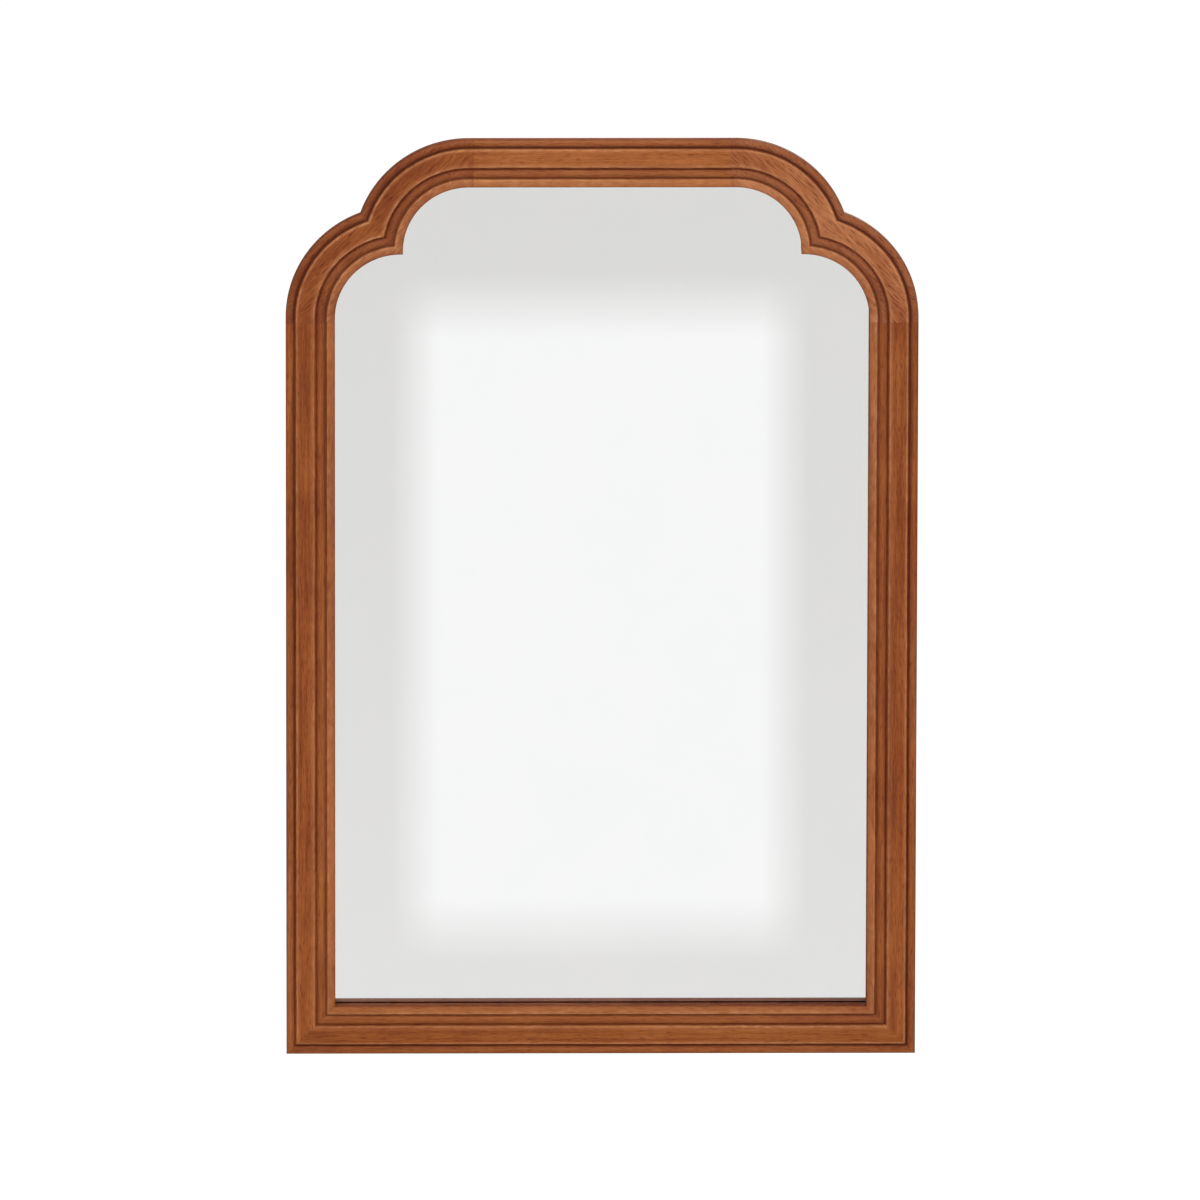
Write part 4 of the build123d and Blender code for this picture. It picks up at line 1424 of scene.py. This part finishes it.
@dataclass
class CornerNails:
    """Steel V-nails, pressed in across the joints from the back and left a hair proud."""

    shop: Workshop
    side: float = 305.0
    top: float = 225.0
    bottom: float = -689.0
    joint_z: float = 43.0
    joint_x: float = 124.0
    leg: float = 3.5
    thickness: float = 0.8
    depth: float = 7.0
    proud: float = 0.08
    eased: float = 0.08
    shrink: float = 0.97
    insets: Place = (13.0, 30.0)

    def nail(self, x: float, z: float, turn: float) -> bpy.types.Object:
        """One V-nail: the V's outline turned about its point and drawn through the wood, with
        its back edge eased.

        Args:
            x: Place of the V's point.
            z: Height of the V's point.
            turn: Turn of the V seen from the front, in degrees.

        Returns:
            The nail's object.
        """
        leg, rise = self.leg, self.thickness / np.sqrt(2)
        wing = np.array([[leg, leg], [leg - rise, leg + rise]])
        flat = np.vstack([[[0, 0]], wing, [[0, 2 * rise]], wing[::-1] * (-1, 1)])
        middle = flat.mean(0)
        rows = []
        levels = ((self.shrink, self.proud), (1.0, self.proud - self.eased), (1.0, -self.depth))
        for shrink, y in levels:
            rows.append(np.insert((flat - middle) * shrink + middle, 1, -WALL_GAP + y, axis=1))
        grid = np.array(rows)
        c, s = cos(radians(turn)), sin(radians(turn))
        placed = grid.copy()
        placed[..., 0] = x + grid[..., 0] * c - grid[..., 2] * s
        placed[..., 2] = z + grid[..., 0] * s + grid[..., 2] * c
        return lattice_solid("nail", placed, sharp=25.0)

    def build(self) -> None:
        """Build the mitres' four nails and the shoulders' eight, mirrored left and right."""
        corners, shoulders = [], []
        for inset in self.insets:
            corners.append(self.nail(-self.side + inset, self.bottom + inset, -45.0))
            corners.append(self.nail(self.side - inset, self.bottom + inset, 45.0))
            shoulders.append(self.nail(-self.side + inset, self.joint_z, -90.0))
            shoulders.append(self.nail(self.side - inset, self.joint_z, 90.0))
            shoulders.append(self.nail(-self.joint_x, self.top - inset, 180.0))
            shoulders.append(self.nail(self.joint_x, self.top - inset, 180.0))
        steel = self.shop.fixing_steel
        seat(merge("mitre_nails", corners), "frame", "fixing_steel", steel, "corner_v_nails")
        seat(merge("shoulder_nails", shoulders), "frame", "fixing_steel", steel, "shoulder_v_nails")


@dataclass
class HiddenParts:
    """CAD nodes whose shape is right already: they only take their finish."""

    shop: Workshop

    def build(self) -> None:
        """Dress each node that stays."""
        shop = self.shop
        dressed: dict[str, Finish] = {
            "backing_board": shop.hardboard,
            "glazing_points": shop.fixing_steel,
        }
        for hand in ("left_", "right_"):
            for block in ("setting_block", "side_block"):
                dressed[hand + block] = shop.block_rubber
            for joint in ("stile_dowels", "top_dowels", "corner_biscuit"):
                dressed[hand + joint] = shop.beech
        for node, finish in dressed.items():
            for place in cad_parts[node].material_slots:
                place.material = finish.material()
            LOG.info("%s keeps its CAD shape", node)


# --------------------------------------------------------------------------------------- studio


@dataclass
class Studio:
    """A white room with a pale floor, soft lamps, and a light panel for the mirror to show.

    Each lamp has a name, a place, a size in metres and a power in watts. Across and up, the
    panel's bright part ends between the two distances given, the outer one first.
    """

    floor_z: float = -1.55
    floor_size: float = 160.0
    sky: float = 0.55
    lamps: tuple[tuple[str, Point, float, float], ...] = (
        ("key", (-1.3, -3.4, 2.7), 2.6, 74.0),
        ("fill", (2.4, -3.2, 0.8), 2.4, 31.0),
        ("top", (0.3, -0.9, 3.2), 1.6, 26.0),
        ("back_fill", (1.5, 3.4, 1.8), 2.6, 40.0),
    )
    aim: Point = (0.0, 0.0, -0.2)
    lamp_tint: Colour = (1.0, 0.99, 0.975)
    sky_tint: Colour = (1.0, 0.995, 0.985)
    floor_shade: float = 0.34
    floor_glow: float = 0.83
    panel_y: float = -3.0
    panel_left: float = -2.2
    panel_right: float = 2.6
    panel_top: float = 1.2
    panel_lift: float = 0.01
    bright_x: float = 0.035
    bright_z: float = -1.06
    bright_across: Place = (0.225, 0.175)
    bright_up: Place = (0.385, 0.315)
    bright: Colour = (0.97, 0.97, 0.97)
    surround: tuple[Colour, Colour] = ((0.80, 0.79, 0.78), (0.74, 0.73, 0.72))
    surround_span: Place = (-1.5, -0.6)

    def world(self) -> None:
        """White to the camera, and a soft level for everything else."""
        world = bpy.data.worlds.new("studio")
        bpy.context.scene.world = world
        world.use_nodes = True
        tree = world.node_tree
        tree.nodes.clear()
        path = tree.nodes.new("ShaderNodeLightPath")
        soft = tree.nodes.new("ShaderNodeBackground")
        soft.inputs["Color"].default_value = (*self.sky_tint, 1.0)
        soft.inputs["Strength"].default_value = self.sky
        white = tree.nodes.new("ShaderNodeBackground")
        white.inputs["Color"].default_value = (1.0, 1.0, 1.0, 1.0)
        white.inputs["Strength"].default_value = 1.0
        mix = tree.nodes.new("ShaderNodeMixShader")
        tree.links.new(path.outputs["Is Camera Ray"], mix.inputs[0])
        tree.links.new(soft.outputs[0], mix.inputs[1])
        tree.links.new(white.outputs[0], mix.inputs[2])
        output = tree.nodes.new("ShaderNodeOutputWorld")
        tree.links.new(mix.outputs[0], output.inputs[0])

    def sheet(self, name: str, corners: list[Point]) -> bpy.types.Object:
        """A flat stage sheet with the given corners."""
        mesh = bpy.data.meshes.new(name)
        mesh.from_pydata(corners, [], [list(range(len(corners)))])
        made = bpy.data.objects.new(name, mesh)
        bpy.context.scene.collection.objects.link(made)
        return made

    def floor(self) -> None:
        """A pale floor that looks white, keeps shadows, and is clear from below."""
        s, z = self.floor_size, self.floor_z
        made = self.sheet("floor", [(-s, -s, z), (s, -s, z), (s, s, z), (-s, s, z)])
        sk = Sketch("pale_floor")
        grain = sk.noise((300, 300, 300), detail=3.0)
        tone = sk.mix(grain, srgb(226, 226, 224), srgb(232, 232, 230))
        sk.feed(sk.shader, Base_Color=tone, Roughness=0.9)
        seen = sk.add("LightPath").outputs["Is Camera Ray"]
        lit = sk.add("BsdfDiffuse")
        sk.feed(lit, Color=(self.floor_shade,) * 3)
        glow = sk.add("Emission")
        sk.feed(glow, Color=(1.0, 1.0, 1.0), Strength=self.floor_glow)
        both = sk.add("AddShader")
        sk.feed(both, i0=lit.outputs[0], i1=glow.outputs[0])
        choose = sk.add("MixShader")
        sk.feed(choose, i0=seen, i1=sk.shader.outputs[0], i2=both.outputs[0])
        clear = sk.add("BsdfTransparent")
        under = sk.add("MixShader")
        back = sk.add("NewGeometry").outputs["Backfacing"]
        sk.feed(under, i0=back, i1=choose.outputs[0], i2=clear.outputs[0])
        sk.feed(sk.output, Surface=under.outputs[0])
        made.data.materials.append(sk.made)

    def panel(self) -> None:
        """A big soft light panel in front of the mirror, which only reflections see: bright in
        the middle and falling away at its edges."""
        y, low, high = self.panel_y, self.floor_z + self.panel_lift, self.panel_top
        left, right = self.panel_left, self.panel_right
        corners = [(left, y, low), (right, y, low), (right, y, high), (left, y, high)]
        made = self.sheet("light_panel", corners)
        sk = Sketch("light_panel")
        split = sk.add("SeparateXYZ")
        sk.feed(split, Vector=sk.add("TexCoord").outputs["Object"])
        x, z = split.outputs[0], split.outputs[2]
        side = sk.sum("ABSOLUTE", sk.sum("SUBTRACT", x, self.bright_x), 0.0)
        rise = sk.sum("ABSOLUTE", sk.sum("SUBTRACT", z, self.bright_z), 0.0)
        inside = sk.sum(
            "MULTIPLY", sk.spread(side, *self.bright_across), sk.spread(rise, *self.bright_up)
        )
        surround = sk.mix(sk.spread(z, *self.surround_span), *self.surround)
        colour = sk.mix(inside, surround, self.bright)
        glow = sk.add("Emission")
        sk.feed(glow, Color=colour, Strength=1.0)
        sk.feed(sk.output, Surface=glow.outputs[0])
        made.data.materials.append(sk.made)
        for kind in ("camera", "diffuse", "volume_scatter", "shadow"):
            setattr(made, "visible_" + kind, False)

    def lights(self) -> None:
        """Square soft lamps, all aimed at the frame."""
        for name, place, size, power in self.lamps:
            data = bpy.data.lights.new(name, "AREA")
            data.size = size
            data.energy = power
            data.color = self.lamp_tint
            lamp = bpy.data.objects.new(name, data)
            lamp.location = place
            way = Vector(self.aim) - Vector(place)
            lamp.rotation_euler = way.to_track_quat("-Z", "Y").to_euler()
            bpy.context.scene.collection.objects.link(lamp)

    def build(self) -> None:
        """Build the room and set plain colour management."""
        self.world()
        self.floor()
        self.panel()
        self.lights()
        bpy.context.scene.view_settings.view_transform = "Standard"


@dataclass
class Viewpoint:
    """The photograph's camera: far off, a little above and to the left of the mirror."""

    azimuth: float = -0.7
    elevation: float = 15.0
    roll: float = 0.11
    distance: float = 26.0
    view_width: float = 1.1595
    target: Point = (-0.00155, -0.028, -0.23335)
    sensor: float = 36.0

    def build(self) -> None:
        """Stand the camera off along its line of sight and choose its lens for the width seen."""
        turn, rise = radians(self.azimuth), radians(self.elevation)
        away = Vector((sin(turn) * cos(rise), -cos(turn) * cos(rise), sin(rise)))
        data = bpy.data.cameras.new("camera")
        data.sensor_width = self.sensor
        data.lens = self.sensor * self.distance / self.view_width
        data.clip_start = 1.0
        data.clip_end = 200.0
        camera = bpy.data.objects.new("camera", data)
        camera.location = Vector(self.target) + away * self.distance
        level = (-away).to_track_quat("-Z", "Y")
        camera.rotation_euler = (level @ Quaternion((0, 0, 1), radians(self.roll))).to_euler()
        bpy.context.scene.collection.objects.link(camera)
        bpy.context.scene.camera = camera


def main() -> None:
    """Build every sub-assembly in order, then the studio and the camera."""
    logging.basicConfig(level=logging.INFO, format="%(name)s: %(message)s")
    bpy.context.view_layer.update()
    shop = Workshop()
    MouldedFrame(shop).build()
    MirrorGlass().build()
    for side in (-1, 1):
        Hanger(side, shop).build()
    Bumpers(shop).build()
    CornerNails(shop).build()
    HiddenParts(shop).build()
    Studio().build()
    Viewpoint().build()


if __name__ == "__main__":
    main()
